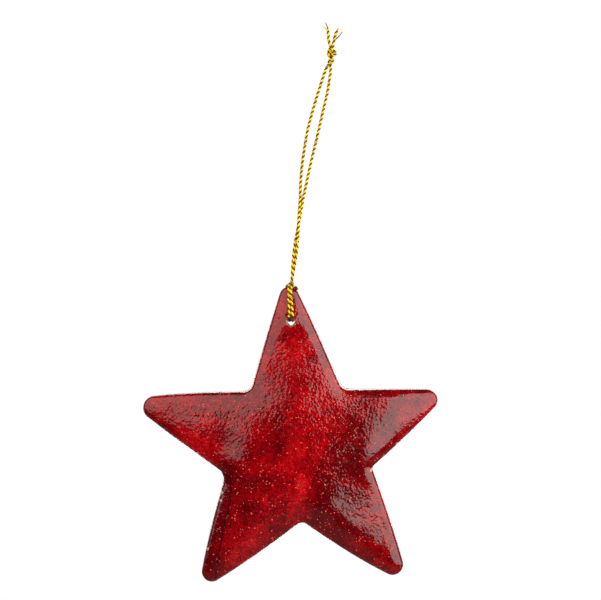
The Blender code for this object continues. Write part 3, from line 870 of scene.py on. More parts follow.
@dataclass
class LeafFace:
    """One face of the star: a fine plan mesh cut along the seams into leaves, each raised to its dome."""

    form: StarForm
    face: Face
    seams: tuple[Seam, ...]
    leaves: tuple[Leaf, ...]
    finish: bpy.types.Material
    seed: int
    dents: Spots = ()
    # dye clouds, partly painted shade in the valleys
    clouds: Spots = ()
    # spots of painted glints at the edge
    chips: Spots = ()
    calm: Spots = ()
    grid: float = 0.00042
    row_share: float = 0.866
    half_span: float = 0.62
    jitter: float = 0.03
    clear_of_rings: float = 0.6
    clear_of_seams: float = 0.45
    clear_of_hole: float = 0.00018
    leaf_thickness: float = 0.0005
    edge_wall: float = 0.00025
    joint_gap: float = 0.00001
    crease: float = 0.00012
    crease_width: float = 0.00030
    hidden_crease: float = 0.03
    line_width: float = 0.00020
    sawn_rise: float = 0.00040
    wall_width: float = 0.00032
    wander: float = 0.00025
    hole_radius: float = 0.00108
    hole_wobble: float = 0.00008
    lip_width: float = 0.00105
    lip_height: float = 0.00004
    lip_start: float = 0.00015
    lip_end: float = 0.004
    wave_height: float = 0.00005
    slow_wave: float = 95.0
    quick_wave: float = 330.0
    quick_share: float = 0.35
    rise_width: float = 0.004
    dent_width: float = 0.003
    peel_reach: float = 0.040
    peel_fall: float = 0.014
    peel_outside: float = 0.62
    peel_gain: float = 0.72
    ring_keep: float = 0.93
    ring_offsets: tuple[float, ...] = (0.00004, 0.00016, 0.00035, 0.0006, 0.0009, 0.00125)

    def build(self) -> list[Piece]:
        """Make every leaf of this face, in the leaves' order."""
        edge = self._edge_line()
        lines = [self._seam_line(seam, i) for i, seam in enumerate(self.seams)]
        points, faces, groups = self._plan_mesh(edge, lines, self._hole_line())
        away = distance_to(points, edge, True)
        sunk, shown = np.zeros(len(points)), np.zeros(len(points))
        for seam, line in zip(self.seams, lines):
            gap = distance_to(points, line, False)
            depth = self.hidden_crease + (1 - self.hidden_crease) * seam.shown
            sunk = np.maximum(sunk, depth * bell(gap, self.crease_width))
            shown = np.maximum(shown, seam.shown * bell(gap, self.line_width))
        to_hole = np.linalg.norm(points - self.form.hole, axis=1) - self.hole_radius
        plan = Plan(points, away, away < 1e-6, sunk, shown, to_hole)
        return [self._leaf(leaf, plan, faces[group]) for leaf, group in zip(self.leaves, groups)]

    def _edge_line(self) -> Array:
        """The star's edge in fine steps."""
        line = self.form.outline(40, 16, 70)
        keep, run = [0], 0.0
        for i, length in enumerate(np.linalg.norm(np.diff(line, axis=0), axis=1), 1):
            run += length
            if run >= self.grid * 0.8:
                keep.append(i)
                run = 0.0
        return line[keep]

    def _seam_line(self, seam: Seam, number: int) -> Array:
        """A seam in fine steps, wandering a little between its ends."""
        width = self.form.width
        line = smooth_route([(x * width, 0.0, z * width) for x, z in seam.points], self.grid)[:, [0, 2]]
        steps = np.arange(len(line))
        ways = np.gradient(line, axis=0)
        sides = np.stack([-ways[:, 1], ways[:, 0]], axis=1) / np.linalg.norm(ways, axis=1)[:, None]
        places = [Vector((i * self.grid * 420, number * 7.3, self.seed)) for i in range(len(line))]
        sway = np.array([noise.fractal(place, 0.8, 2.1, 4) for place in places])
        ends = np.clip(np.minimum(steps, steps[::-1]) / 6.0, 0, 1)
        return line + sides * (sway * ends * self.wander)[:, None]

    def _hole_line(self) -> Array:
        """The drilled hole's edge, a little uneven."""
        turns = np.linspace(0, 2 * math.pi, 40, endpoint=False)
        wobble = np.array([noise.noise(Vector((2 * math.cos(a), 2 * math.sin(a), self.seed))) for a in turns])
        radius = self.hole_radius + self.hole_wobble * np.cos(4 * turns) + self.hole_wobble * wobble
        return self.form.hole + radius[:, None] * np.stack([np.cos(turns), np.sin(turns)], axis=1)

    def _loose_points(self, edge: Array) -> Array:
        """Plan points inside the star: rings along its edge, and a slightly uneven grid within them."""
        ahead = np.roll(edge, -1, axis=0) - np.roll(edge, 1, axis=0)
        inward = np.stack([ahead[:, 1], -ahead[:, 0]], axis=1) / np.linalg.norm(ahead, axis=1)[:, None]
        rings = []
        for offset in self.ring_offsets:
            ring = edge + inward * offset
            rings.append(ring[distance_to(ring, edge, True) > offset * self.ring_keep])
        span = self.form.width * self.half_span
        step, row_step = self.grid, self.grid * self.row_share
        grid = []
        for row in range(int(2 * span / row_step) + 1):
            xs = np.arange(-span + (row % 2) * step / 2, span, step)
            grid.append(np.stack([xs, np.full(len(xs), -span + row * step * self.row_share)], axis=1))
        grid = np.concatenate(grid)
        grid = grid[inside(grid, edge)]
        grid = grid[distance_to(grid, edge, True) > self.ring_offsets[-1] + step * self.clear_of_rings]
        rng = np.random.default_rng(self.seed)
        return np.concatenate([*rings, grid + rng.uniform(-self.jitter, self.jitter, grid.shape) * step])

    def _plan_mesh(self, edge: Array, seams: list[Array], hole: Array) -> tuple[Array, Array, list[Array]]:
        """Triangles over the star's plan.

        Args:
            edge: the star's edge.
            seams: the seam lines.
            hole: the hole's edge.

        Returns:
            The plan points, the triangles, and the triangle numbers of each leaf.
        """
        loose = self._loose_points(edge)
        for line in seams:
            loose = loose[distance_to(loose, line, False) > self.grid * self.clear_of_seams]
        to_hole = np.linalg.norm(loose - self.form.hole, axis=1)
        loose = loose[to_hole > self.hole_radius + self.clear_of_hole]
        edges: list[tuple[int, int]] = []
        count = len(loose)
        for line, closed in [(edge, True), (hole, True), *((line, False) for line in seams)]:
            n = len(line)
            edges += [(count + i, count + (i + 1) % n) for i in range(n if closed else n - 1)]
            count += n
        verts = [Vector(p) for p in np.concatenate([loose, edge, hole, *seams])]
        out = delaunay_2d_cdt(verts, edges, [], 0, 1e-7, True)
        plan = np.array([tuple(v) for v in out[0]])
        faces = np.array(out[2])
        walls = {tuple(sorted(e)) for e, source in zip(out[1], out[4]) if source}
        return plan, faces, self._groups(plan, faces, walls)

    def _groups(self, plan: Array, faces: Array, walls: set[tuple[int, int]]) -> list[Array]:
        """The triangles round each leaf's seed, as far as the seams."""
        beside: dict[tuple[int, int], list[int]] = {}
        for i, (a, b, c) in enumerate(faces.tolist()):
            for start, end in ((a, b), (b, c), (c, a)):
                key = (min(start, end), max(start, end))
                if key not in walls:
                    beside.setdefault(key, []).append(i)
        links: list[list[int]] = [[] for _ in faces]
        for pair in beside.values():
            if len(pair) == 2:
                links[pair[0]].append(pair[1])
                links[pair[1]].append(pair[0])
        centers = plan[faces].mean(axis=1)
        groups = []
        for leaf in self.leaves:
            seed = np.array(leaf.seed) * self.form.width
            todo = [int(np.linalg.norm(centers - seed, axis=1).argmin())]
            found = set(todo)
            while todo:
                fresh = [other for other in links[todo.pop()] if other not in found]
                found.update(fresh)
                todo += fresh
            groups.append(np.array(sorted(found)))
        return groups

    def _height(self, leaf: Leaf, plan: Plan) -> Array:
        """How far this leaf's outer face stands from the middle plane at its plan points."""
        roll = share_of(plan.away, self.form.edge_roll)
        slow, quick = (
            np.array([noise.noise(Vector((x * scale, z * scale, layer))) for x, z in plan.points])
            for scale, layer in ((self.slow_wave, self.seed), (self.quick_wave, self.seed + 5))
        )
        depth = self.form.depth(plan.points, np.where(plan.on_edge, 0.0, plan.away))
        depth += self.wave_height * (slow + self.quick_share * quick) * roll
        depth += leaf.rise * share_of(plan.away, self.rise_width)
        depth -= self.crease * plan.sunk * roll
        depth += MM * self._sum(plan.points, self.dents) * share_of(plan.away, self.dent_width)
        lip = bell(np.clip(plan.to_hole - self.lip_start, 0, None), self.lip_width)
        return depth + self.lip_height * lip * (plan.to_hole < self.lip_end)

    def _sum(self, points: Array, table: Spots) -> Array:
        """The sum of soft round spots at each plan point."""
        total = np.zeros(len(points))
        for x, z, radius, amount in table:
            total += amount * bell(np.linalg.norm(points / self.form.width - (x, z), axis=1), radius)
        return total

    def _grain(self, points: Array) -> Array:
        """How deep the lacquer's peel is: most in the middle and to its left, little in calm spots."""
        reach = self.peel_reach + np.clip(-0.5 * points[:, 0], -0.004, 0.014)
        middle = share_of(reach - np.linalg.norm(points, axis=1), self.peel_fall)
        return (self.peel_outside + self.peel_gain * middle) * (1 - self._sum(points, self.calm))

    def _leaf(self, leaf: Leaf, whole: Plan, faces: Array) -> Piece:
        """One leaf as a closed solid.

        Args:
            leaf: which leaf.
            whole: the plan of this face.
            faces: this leaf's triangles in it.

        Returns:
            The leaf's object.
        """
        used = np.unique(faces)
        faces = np.searchsorted(used, faces)
        plan = whole.part(used)
        points, count = plan.points, len(used)
        depth = self._height(leaf, plan)
        one, other = points[faces[:, 1]] - points[faces[:, 0]], points[faces[:, 2]] - points[faces[:, 0]]
        mirrored = one[:, 0] * other[:, 1] - one[:, 1] * other[:, 0] < 0
        faces[mirrored] = faces[mirrored][:, ::-1]
        border = self._border(faces)
        pull = np.zeros_like(points)
        for a, b in border:
            way = points[b] - points[a]
            side = np.array([-way[1], way[0]]) / max(np.linalg.norm(way), 1e-9)
            pull[a] += side
            pull[b] += side
        sizes = np.linalg.norm(pull, axis=1)
        moved = (sizes > 0) & ~plan.on_edge & (plan.to_hole > 0.0003)
        points[moved] += pull[moved] / sizes[moved][:, None] * self.joint_gap
        under = np.maximum(depth - self.leaf_thickness, self.form.edge_plane - self.edge_wall)
        (x, _, z), way = self.form.center, -self.face.value
        skins = [
            np.stack([x + points[:, 0], way * level, z + points[:, 1]], axis=1) for level in (depth, under)
        ]
        loops = [tuple(f) for f in faces] + [tuple(f[::-1] + count) for f in faces]
        loops += [(b, a, a + count, b + count) for a, b in border]
        if self.face is Face.BACK:
            loops = [f[::-1] for f in loops]
        name = leaf.node.replace("leaf", "capiz").replace("strip", "capiz_strip")
        made = mesh_object(name, np.concatenate(skins), loops)
        self._sharpen(made.data, border, count)
        rim = np.clip(1.0 - plan.to_hole / self.lip_width, 0, 1) * (plan.to_hole < self.lip_width)
        marks = {
            # dye tone, with the painted shade of the clouds table
            "tone": leaf.tone + self._sum(points, self.clouds),
            "seam": plan.shown,
            "rim": rim,
            "edge": np.clip(1.5 - (depth - self.form.edge_plane) / self.sawn_rise, 0, 1),
            "grain": self._grain(points),
            # where the painted edge glints lie
            "chip": self._sum(points, self.chips) * share_of(plan.away - 0.0001, 0.0003),
            "wall": np.clip(1.3 - plan.away / self.wall_width, 0, 1),
        }
        for key, value in marks.items():
            mark(made.data, key, np.tile(value, 2))
        made.data.materials.append(self.finish)
        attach(made, Body.STAR.value)
        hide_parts(leaf.node)
        LOG.info("%s: %d faces", made.name, len(made.data.polygons))
        return made

    @staticmethod
    def _border(faces: Array) -> list[tuple[int, int]]:
        """The edges that only one triangle has, as it runs along them."""
        border: dict[tuple[int, int], bool] = {}
        for a, b, c in faces.tolist():
            for start, end in ((a, b), (b, c), (c, a)):
                if (end, start) in border:
                    del border[end, start]
                else:
                    border[start, end] = True
        return list(border)

    @staticmethod
    def _sharpen(mesh: bpy.types.Mesh, border: list[tuple[int, int]], count: int) -> None:
        """Smooth faces, but crisp edges where the leaf's faces meet its sides."""
        ends = np.zeros(len(mesh.edges) * 2, np.int32)
        mesh.edges.foreach_get("vertices", ends)
        ends = np.sort(ends.reshape(-1, 2), axis=1)
        crisp = {tuple(sorted((a + shift, b + shift))) for a, b in border for shift in (0, count)}
        flags = np.array([tuple(e) in crisp for e in ends.tolist()])
        mesh.attributes.new("sharp_edge", "BOOLEAN", "EDGE").data.foreach_set("value", flags)
        smooth(mesh)


# --------------------------------------------------------------------------- cord


LEFT_RUN = in_metres(
    (-0.7, 0, 12.4), (-0.5, 0, 10.2), (-0.3, 0, 8.4), (0.2, 0, 6.7), (0.4, 0, 4.5), (0.68, -0.10, 2.6),
    (1.00, -0.38, 1.75), (0.78, -0.52, 1.05), (-0.05, -0.46, 0.45), (-0.78, -0.20, -0.20),
    (-1.31, 0, -1.15), (-2.50, 0, -4.6), (-3.90, 0, -8.9), (-5.30, 0, -13.5), (-6.40, 0, -17.4),
    (-7.60, 0, -22.1), (-8.60, 0, -27.7), (-9.35, 0, -32.6), (-9.85, 0, -37.4), (-10.16, 0, -42.5),
    (-10.22, 0, -45.5),
)
RIGHT_RUN = in_metres(
    (2.4, 0, 11.8), (1.8, 0, 10.2), (1.4, 0, 8.4), (1.1, 0, 6.7), (0.9, 0, 4.5), (0.50, 0.10, 2.6),
    (-0.12, 0.38, 1.85), (-0.24, 0.52, 1.15), (0.24, 0.46, 0.45), (0.36, 0.20, -0.40), (0.32, 0, -1.35),
    (0.00, 0, -4.0), (-0.70, 0, -8.6), (-1.60, 0, -12.7), (-2.60, 0, -16.9), (-3.70, 0, -21.7),
    (-4.90, 0, -26.8), (-6.20, 0, -32.2), (-7.40, 0, -37.5), (-8.56, 0, -43.0), (-9.15, 0, -45.6),
)
HITCH_LEFT = in_metres(
    (-13.45, 0.10, -75.45), (-13.70, -0.90, -75.20), (-14.00, -2.40, -76.00), (-14.18, -3.79, -77.15),
    (-14.16, -4.57, -79.23), (-14.12, -5.11, -81.42), (-14.05, -5.61, -83.61), (-13.98, -6.11, -85.81),
    (-13.92, -6.55, -87.00), (-13.90, -5.90, -87.75), (-13.90, -4.00, -87.92), (-13.90, 0.00, -87.95),
    (-13.90, 4.00, -87.92), (-13.90, 5.90, -87.75), (-13.90, 6.55, -87.00), (-13.94, 6.11, -85.81),
    (-13.94, 5.61, -83.61), (-13.94, 5.11, -81.42), (-14.20, 4.57, -79.23), (-14.50, 3.60, -77.15),
    (-14.72, 1.80, -76.40), (-14.78, 0.30, -76.25), (-14.62, -1.10, -76.00), (-14.12, -2.25, -75.90),
)
HITCH_MIDDLE = in_metres((-13.30, -2.72, -75.90))
HITCH_RIGHT = in_metres(
    (-12.90, -0.70, -75.45), (-13.00, -1.80, -75.25), (-13.25, -2.90, -76.00), (-13.40, -4.10, -77.15),
    (-13.35, -4.80, -79.23), (-13.20, -5.25, -81.42), (-13.03, -5.68, -83.61), (-12.90, -6.11, -85.81),
    (-12.83, -6.55, -87.00), (-12.82, -5.90, -87.75), (-12.82, -4.00, -87.92), (-12.82, 0.00, -87.95),
    (-12.82, 4.00, -87.92), (-12.82, 5.90, -87.75), (-12.82, 6.55, -87.00), (-12.66, 6.11, -85.81),
    (-12.66, 5.61, -83.61), (-12.66, 5.11, -81.42), (-12.30, 4.60, -79.23), (-11.90, 3.40, -77.70),
    (-11.60, 1.80, -77.15), (-11.45, 0.50, -77.00), (-11.50, -0.60, -76.85), (-11.85, -1.60, -76.50),
    (-12.50, -2.35, -76.12),
)
FRAYS = {
    "fray_left": (
        ((328.2, 31.5), (326.6, 29.0), (322.5, 26.2)),
        ((328.1, 31.2), (327.3, 27.0), (325.5, 22.4)),
        ((328.3, 31.0), (329.0, 27.5), (329.6, 24.1)),
    ),
    "fray_right": (
        ((335.5, 33.8), (335.6, 31.5), (335.7, 29.7)),
        ((335.7, 33.4), (337.2, 30.3), (338.5, 28.3)),
        ((336.0, 33.5), (339.0, 30.6), (342.0, 29.0)),
        ((334.6, 40.5), (335.7, 39.2), (338.9, 36.4), (342.4, 31.8)),
    ),
}


@dataclass
class YarnTree:
    """A Geometry Nodes tree that twists a gold ply and a dark ply round a centreline."""

    foil: bpy.types.Material
    thread: bpy.types.Material
    lay: float = 0.00175
    gold_radius: float = 0.00036
    gold_offset: float = 0.00014
    dark_radius: float = 0.00025
    dark_offset: float = 0.00029
    step: float = 0.00012
    sides: int = 10
    slack: float = 0.00001

    def __post_init__(self) -> None:
        """Build the tree once."""
        self.tree = bpy.data.node_groups.new("twisted_yarn", "GeometryNodeTree")
        face = self.tree.interface
        face.new_socket("Geometry", in_out="INPUT", socket_type="NodeSocketGeometry")
        sizes = {
            "Start": 0.0, "End": 1.0, "Lay": self.lay, "Step": self.step, "Gold Radius": self.gold_radius,
            "Gold Offset": self.gold_offset, "Dark Radius": self.dark_radius, "Dark Offset": self.dark_offset,
        }
        for key, value in sizes.items():
            face.new_socket(key, in_out="INPUT", socket_type="NodeSocketFloat").default_value = value
        for key in ("Foil", "Thread"):
            face.new_socket(key, in_out="INPUT", socket_type="NodeSocketMaterial")
        face.new_socket("Geometry", in_out="OUTPUT", socket_type="NodeSocketGeometry")
        self._fill(Graph(self.tree))

    def _fill(self, g: Graph) -> None:
        """Add the nodes: one offset line for each ply, swept by a small circle."""
        given = g.node("NodeGroupInput").outputs
        values = {"Curve": given["Geometry"], "Length": given["Step"]}
        line = g.node("GeometryNodeResampleCurve", values, mode="LENGTH").outputs[0]
        line = self._store(g, line, "along", g.node("GeometryNodeSplineParameter").outputs["Length"])
        place = g.node("GeometryNodeInputPosition").outputs[0]
        line = self._store(g, line, "middle", place, "FLOAT_VECTOR")
        along, middle = (
            g.node("GeometryNodeInputNamedAttribute", {"Name": name}, data_type=kind).outputs[0]
            for name, kind in (("along", "FLOAT"), ("middle", "FLOAT_VECTOR"))
        )
        normal = g.node("GeometryNodeInputNormal").outputs[0]
        across = g.vector("CROSS_PRODUCT", g.node("GeometryNodeInputTangent").outputs[0], normal)
        before = g.math("LESS_THAN", along, g.math("SUBTRACT", given["Start"], self.slack))
        after = g.math("GREATER_THAN", along, g.plus(given["End"], self.slack))
        spare = g.plus(before, after)
        reach = g.distance(place, middle)
        join = g.node("GeometryNodeJoinGeometry")
        for turn, ply, finish in ((0.0, "Gold", "Foil"), (math.pi, "Dark", "Thread")):
            radius, offset = given[f"{ply} Radius"], given[f"{ply} Offset"]
            angle = g.times_plus(g.math("DIVIDE", along, given["Lay"]), 2 * math.pi, turn)
            cosine, sine = g.math("COSINE", angle), g.math("SINE", angle)
            way = g.vector("ADD", g.scaled(normal, cosine), g.scaled(across, sine))
            moved = {"Geometry": line, "Offset": g.scaled(way, offset)}
            kept = {"Geometry": g.node("GeometryNodeSetPosition", moved).outputs[0], "Selection": spare}
            kept = g.node("GeometryNodeDeleteGeometry", kept, domain="POINT").outputs[0]
            circle = {"Resolution": self.sides, "Radius": radius}
            circle = g.node("GeometryNodeCurvePrimitiveCircle", circle, mode="RADIUS").outputs[0]
            circle = self._store(g, circle, "around", g.node("GeometryNodeSplineParameter").outputs["Factor"])
            tube = {"Curve": kept, "Profile Curve": circle, "Fill Caps": True}
            tube = g.node("GeometryNodeCurveToMesh", tube).outputs[0]
            # crest: how far out from the cord's middle; the finish paints shade where it is low
            tube = self._store(g, tube, "crest", g.math("DIVIDE", reach, g.plus(radius, offset)))
            for kind in ("SetShadeSmooth", "RealizeInstances"):
                tube = g.node(f"GeometryNode{kind}", {"Geometry": tube}).outputs[0]
            tube = {"Geometry": tube, "Material": given[finish]}
            g.feed(join, {0: g.node("GeometryNodeSetMaterial", tube).outputs[0]})
        g.feed(g.node("NodeGroupOutput"), {"Geometry": join.outputs[0]})

    @staticmethod
    def _store(g: Graph, geometry: Socket, name: str, value: Socket, kind: str = "FLOAT") -> Socket:
        """Geometry with a named point attribute."""
        values = {"Geometry": geometry, "Name": name, "Value": value}
        return g.node("GeometryNodeStoreNamedAttribute", values, data_type=kind, domain="POINT").outputs[0]

    def sweep(self, name: str, route: Array, **sizes: float) -> Piece:
        """Yarn along a route as a plain mesh.

        Args:
            name: the piece's name.
            route: the centreline's points.
            sizes: inputs of the tree by name, with underscores for spaces.

        Returns:
            The piece.
        """
        curve = bpy.data.curves.new(name, "CURVE")
        curve.dimensions = "3D"
        spline = curve.splines.new("POLY")
        spline.points.add(len(route) - 1)
        spline.points.foreach_set("co", np.concatenate([route, np.ones((len(route), 1))], axis=1).ravel())
        source = new_object(name, curve)
        yarn = source.modifiers.new("yarn", "NODES")
        yarn.node_group = self.tree
        sockets = {s.name: s.identifier for s in self.tree.interface.items_tree if s.in_out == "INPUT"}
        for key, value in {**sizes, "Foil": self.foil, "Thread": self.thread}.items():
            yarn[sockets[key.replace("_", " ")]] = value
        graph = bpy.context.evaluated_depsgraph_get()
        done = source.evaluated_get(graph)
        mesh = bpy.data.meshes.new_from_object(done, preserve_all_data_layers=True, depsgraph=graph)
        bpy.data.objects.remove(source, do_unlink=True)
        mesh.name = name
        return new_object(name, mesh)


@dataclass
class Cord:
    """The cord: one long yarn from tail to tail, cut where the bodies part, and its knot."""

    yarn: YarnTree
    diameter: float = 0.0010
    pair_pitch: float = 0.00090
    neck_top: Point = (-0.00990, 0.0, -0.0473)
    neck_bottom: Point = (-0.01315, 0.0, -0.0745)
    neck_start: float = 0.05
    neck_turns: float = 0.72
    neck_points: int = 16
    hitch_lay: float = 0.00195
    knot_center: Point = (0.0006, 0.0, 0.0043)
    knot_radius: float = 0.00095
    knot_lobe: float = 0.00052
    knot_rise: float = 1.15
    knot_gap: float = 0.16
    knot_points: int = 60
    filament_step: float = 0.00025
    filament_start: float = 0.00025
    filament_end: float = 0.00011
    filament_sides: int = 7
    filament_stray: float = 0.00012

    def neck(self, sign: int) -> list[Point]:
        """One of the two strands twisted round each other between the loop and the hitch."""
        top, bottom = np.array(self.neck_top), np.array(self.neck_bottom)
        front = np.array([0.0, -1.0, 0.0])
        side = unit(np.cross(unit(bottom - top), front))
        points = []
        for k in range(self.neck_points):
            t = k / (self.neck_points - 1)
            a = 2 * math.pi * (self.neck_start + self.neck_turns * t)
            off = (side * math.cos(a) + front * math.sin(a)) * sign * 0.5 * self.pair_pitch
            points.append(tuple(top + (bottom - top) * t + off))
        return points

    def build(self) -> list[Piece]:
        """Make the cord's three lengths, the knot and the frayed ends."""
        left = [*LEFT_RUN, *self.neck(1), *HITCH_LEFT]
        right = [*RIGHT_RUN, *self.neck(-1), *HITCH_RIGHT]
        route = smooth_route([*left, *HITCH_MIDDLE, *right[::-1]], self.yarn.step)
        top, bottom = np.array(self.neck_top), np.array(self.neck_bottom)
        past = (route - (top + bottom) / 2) @ unit(bottom - top) > 0
        end = len(route) - 1
        first, last = int(np.argmax(past)), end - int(np.argmax(past[::-1]))
        along = distances_along(route)
        knot = self._knot()
        frays = [self._fray(name) for name in FRAYS]
        left_nodes = ("loop_strand_left", "neck_strand_right", "tail_left")
        right_nodes = ("loop_strand_right", "neck_strand_left", "tail_right")
        parts = (
            ("cord_left", 0, first, "bare", left_nodes, [knot, frays[0]]),
            ("cord_hitch", first, last, "object", ("hitch",), []),
            ("cord_right", last, end, "bare", right_nodes, [frays[1]]),
        )
        made = []
        for name, start, end, far_end, nodes, others in parts:
            lay = -self.hitch_lay if name == "cord_hitch" else self.yarn.lay
            piece = self.yarn.sweep(name, route, Start=float(along[start]), End=float(along[end]), Lay=lay)
            line = route[start : end + 1]
            if name == "cord_hitch":
                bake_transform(piece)
            else:
                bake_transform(piece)
            if name == "cord_left":
                line = line[::-1]
            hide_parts(*nodes)
            made.append(piece)
        return [*made, knot, *frays]

    def _knot(self) -> Piece:
        """The knot drawn tight above the loop."""
        x, y, z = self.knot_center
        start, whole = math.pi / 2 + self.knot_gap, 2 * math.pi - 2 * self.knot_gap
        points = []
        for k in range(self.knot_points):
            t = start + whole * k / (self.knot_points - 1)
            reach = self.knot_radius + self.knot_lobe * math.cos(3 * t)
            rise = self.knot_rise * self.knot_lobe * math.sin(3 * t)
            points.append((x + reach * math.cos(2 * t), y + rise, z + reach * math.sin(2 * t)))
        route = smooth_route(points, self.yarn.step)
        gold = {"Gold_Radius": 0.00031, "Gold_Offset": 0.00011}
        dark = {"Dark_Radius": 0.00020, "Dark_Offset": 0.00025}
        piece = self.yarn.sweep("knot_turns", route, **gold, **dark)
        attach(piece, Body.HANGER.value)
        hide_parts("knot")
        return piece

    def _fray(self, name: str) -> Piece:
        """The plies splayed at a tail's end, as one object with outward, smooth faces."""
        points: list[Array] = []
        faces: list[Loop] = []
        finishes: list[int] = []
        for number, line in enumerate(FRAYS[name]):
            route = [
                ((x - HANG_PIXEL[0]) * PIXEL, self.filament_stray * math.sin(2.1 * number + 1.3 * i) * i,
                 (HANG_PIXEL[1] - z) * PIXEL)
                for i, (x, z) in enumerate(line)
            ]
            rings, loops = self._filament(smooth_route(route, self.filament_step))
            faces += [tuple(i + len(points) for i in loop) for loop in loops]
            finishes += [number % 2] * len(loops)
            points += rings
        piece = mesh_object(name, np.array(points), faces)
        grid = bmesh.new()
        grid.from_mesh(piece.data)
        bmesh.ops.recalc_face_normals(grid, faces=grid.faces)
        grid.to_mesh(piece.data)
        grid.free()
        smooth(piece.data)
        piece.data.materials.append(self.yarn.foil)
        piece.data.materials.append(self.yarn.thread)
        piece.data.polygons.foreach_set("material_index", finishes)
        mark(piece.data, "crest", np.ones(len(points)))
        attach(piece, Body.HANGER.value)
        return piece

    def _filament(self, route: Array) -> tuple[list[Array], list[Loop]]:
        """A closed tapering tube: its points and faces."""
        sides, count = self.filament_sides, len(route)
        points, faces = [], []
        for i, (place, way) in enumerate(zip(route, np.gradient(route, axis=0))):
            side = unit(np.cross(unit(way), (0.0, 1.0, 0.05)))
            up = np.cross(side, unit(way))
            radius = self.filament_start + (self.filament_end - self.filament_start) * i / (count - 1)
            for k in range(sides):
                a = 2 * math.pi * k / sides
                points.append(place + radius * (side * math.cos(a) + up * math.sin(a)))
        for i in range(count - 1):
            for k in range(sides):
                a, b = i * sides + k, i * sides + (k + 1) % sides
                faces.append((a, b, b + sides, a + sides))
        faces.append(tuple(range(sides))[::-1])
        faces.append(tuple(range((count - 1) * sides, count * sides)))
        return points, faces


# --------------------------------------------------------------------------- studio


class Softbox(NamedTuple):
    """A lamp: degrees from the front towards +X and above level, its sides and its glow, 1 for white."""

    name: str
    azimuth: float
    height: float
    width: float
    tall: float
    glow: float


SOFTBOXES = (
    Softbox("right_softbox", 63.6, 17.2, 2.28, 1.64, 3.4),
    Softbox("left_softbox", -62.0, 37.2, 2.4, 2.0, 1.8),
    Softbox("back_softbox", 178.0, 2.0, 0.80, 0.75, 2.6),
)


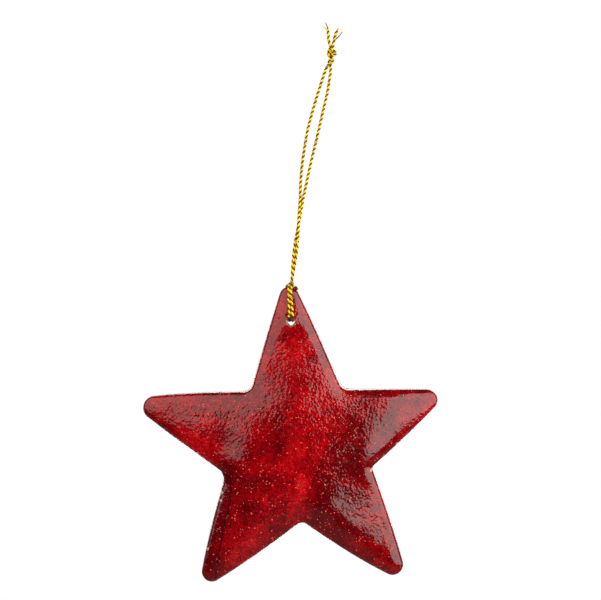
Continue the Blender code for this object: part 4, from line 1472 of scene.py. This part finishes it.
@dataclass
class Studio:
    """Camera, soft boxes, white surroundings and floor."""

    distance: float = 1.0
    lamp_distance: float = 1.2
    lamp_color: Color = (1.0, 0.965, 0.92)
    sensor: float = 36.0
    target: Point = (-0.0117, 0.0, -0.132)
    floor_z: float = -1.0
    floor_radius: float = 1.7
    floor_sides: int = 96
    ambient: float = 0.08
    front_glow: float = 0.012
    side_glow: float = 0.10
    back_ambient: float = 0.55

    def build(self) -> None:
        """Set the whole studio up."""
        bpy.context.scene.view_settings.view_transform = "Standard"
        self._camera()
        for box in SOFTBOXES:
            self._lamp(box)
        self._world()
        self._floor()

    def _camera(self) -> None:
        """The camera, level and square to the star, framed as the photograph is."""
        data = bpy.data.cameras.new("camera")
        camera = new_object("camera", data)
        across = (IMAGE_WIDTH / 2 - HANG_PIXEL[0]) * PIXEL
        up = (HANG_PIXEL[1] - IMAGE_HEIGHT / 2) * PIXEL
        camera.location = (across, -self.distance, up)
        camera.rotation_euler = (math.pi / 2, 0.0, 0.0)
        data.sensor_width = self.sensor
        data.lens = self.sensor * self.distance / (IMAGE_WIDTH * PIXEL)
        data.clip_start = 0.01
        bpy.context.scene.camera = camera

    def _lamp(self, box: Softbox) -> None:
        """A soft box aimed at the star."""
        data = bpy.data.lights.new(box.name, "AREA")
        data.shape = "RECTANGLE"
        data.size, data.size_y = box.width, box.tall
        data.energy = box.glow * math.pi * box.width * box.tall
        data.color = self.lamp_color
        lamp = new_object(box.name, data)
        lamp.visible_camera = False
        a, e = math.radians(box.azimuth), math.radians(box.height)
        way = Vector((math.sin(a) * math.cos(e), -math.cos(a) * math.cos(e), math.sin(e)))
        lamp.location = Vector(self.target) + way * self.lamp_distance
        lamp.rotation_euler = (-way).to_track_quat("-Z", "Y").to_euler()

    def _world(self) -> None:
        """White to the camera, soft light mostly from behind, and quiet in reflections."""
        world = bpy.data.worlds.new("studio")
        bpy.context.scene.world = world
        world.use_nodes = True
        g = Graph(world.node_tree)
        rays = g.node("ShaderNodeLightPath").outputs
        way = g.node("ShaderNodeSeparateXYZ", {0: g.node("ShaderNodeTexCoord").outputs["Generated"]}).outputs
        level = g.rest(g.ramp(g.math("ABSOLUTE", way[2]), 0.25, 0.50))
        aside = g.times(g.ramp(way[1], 0.2, 0.7, 0.0, self.side_glow), level)
        shiny = g.most(rays["Is Glossy Ray"], rays["Is Transmission Ray"])
        mirrored = g.times(shiny, g.most(self.front_glow, aside))
        soft = g.times(g.rest(shiny), g.ramp(way[1], 0.1, 0.6, self.ambient, self.back_ambient))
        seen = rays["Is Camera Ray"]
        strength = g.plus(seen, g.times(g.rest(seen), g.plus(mirrored, soft)))
        g.feed(world.node_tree.nodes["Background"], {"Color": WHITE, "Strength": strength})

    def _floor(self) -> None:
        """A pale floor well below the ornament, which keeps its soft shadow."""
        radius, sides = self.floor_radius, self.floor_sides
        turns = [2 * math.pi * k / sides for k in range(sides)]
        points = [(radius * math.cos(a), radius * math.sin(a), self.floor_z) for a in turns]
        floor = mesh_object("floor", np.array(points), [range(sides)])
        made, g, shader = new_material("pale_floor")
        rays = g.node("ShaderNodeLightPath").outputs
        looks = {
            "Base Color": g.blend(rays["Is Glossy Ray"], (0.82, 0.82, 0.82), (0.12, 0.12, 0.12)),
            "Roughness": 0.9,
            "Emission Color": WHITE,
            "Emission Strength": g.times(rays["Is Camera Ray"], 0.6),
        }
        g.feed(shader, looks)
        floor.data.materials.append(made)


def main() -> None:
    """Build the studio, the cord and the star in order."""
    logging.basicConfig(level=logging.INFO, format="%(name)s: %(message)s")
    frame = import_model()
    Studio().build()
    shared = SharedNodes()
    gold = {"foil": (1.0, 0.76, 0.014), "amber": (0.60, 0.25, 0.008), "groove": (0.085, 0.026, 0.003)}
    brown = {"foil": (0.12, 0.024, 0.0015), "amber": (0.24, 0.070, 0.003), "groove": (0.030, 0.007, 0.001)}
    foil = YarnFinish("gold_foil", **gold, metal=0.35, rough=0.27).build()
    thread = YarnFinish("brown_thread", **brown, metal=0.05, rough=0.6).build()
    Cord(YarnTree(foil, thread)).build()
    form = StarForm()
    front = LacquerFinish("front_lacquer").build(shared)
    back = LacquerFinish("back_lacquer", offset=(0.4, 0.7, 0.2), speck_share=0.24).build(shared)
    tables = {"dents": FRONT_DENTS, "clouds": FRONT_CLOUDS_AND_SHADE, "chips": FRONT_EDGE_GLINTS, "calm": FRONT_CALM}
    LeafFace(form, Face.FRONT, FRONT_SEAMS, FRONT_LEAVES, front, 11, **tables).build()
    LeafFace(form, Face.BACK, back_seams(), back_leaves(), back, 23, grid=0.0007).build()
    finishes = {
        Slot.SHELL.value: BoardFinish("dyed_moulding", (0.16, 0.004, 0.008), (0.28, 0.02, 0.02)),
        Slot.SEAM.value: BoardFinish("edge_filler", (0.045, 0.001, 0.002), (0.12, 0.004, 0.006), 0.35, 0.6),
    }
    finishes = {slot: finish.build(shared) for slot, finish in finishes.items()}
    for part in frame["record"]["subparts"]:
        if part["material_slot"] in finishes:
            node = frame["nodes"][part["node"]]
            node.data.materials.clear()
            node.data.materials.append(finishes[part["material_slot"]])
            LOG.info("%s keeps its CAD shape", part["node"])


if __name__ == "__main__":
    main()
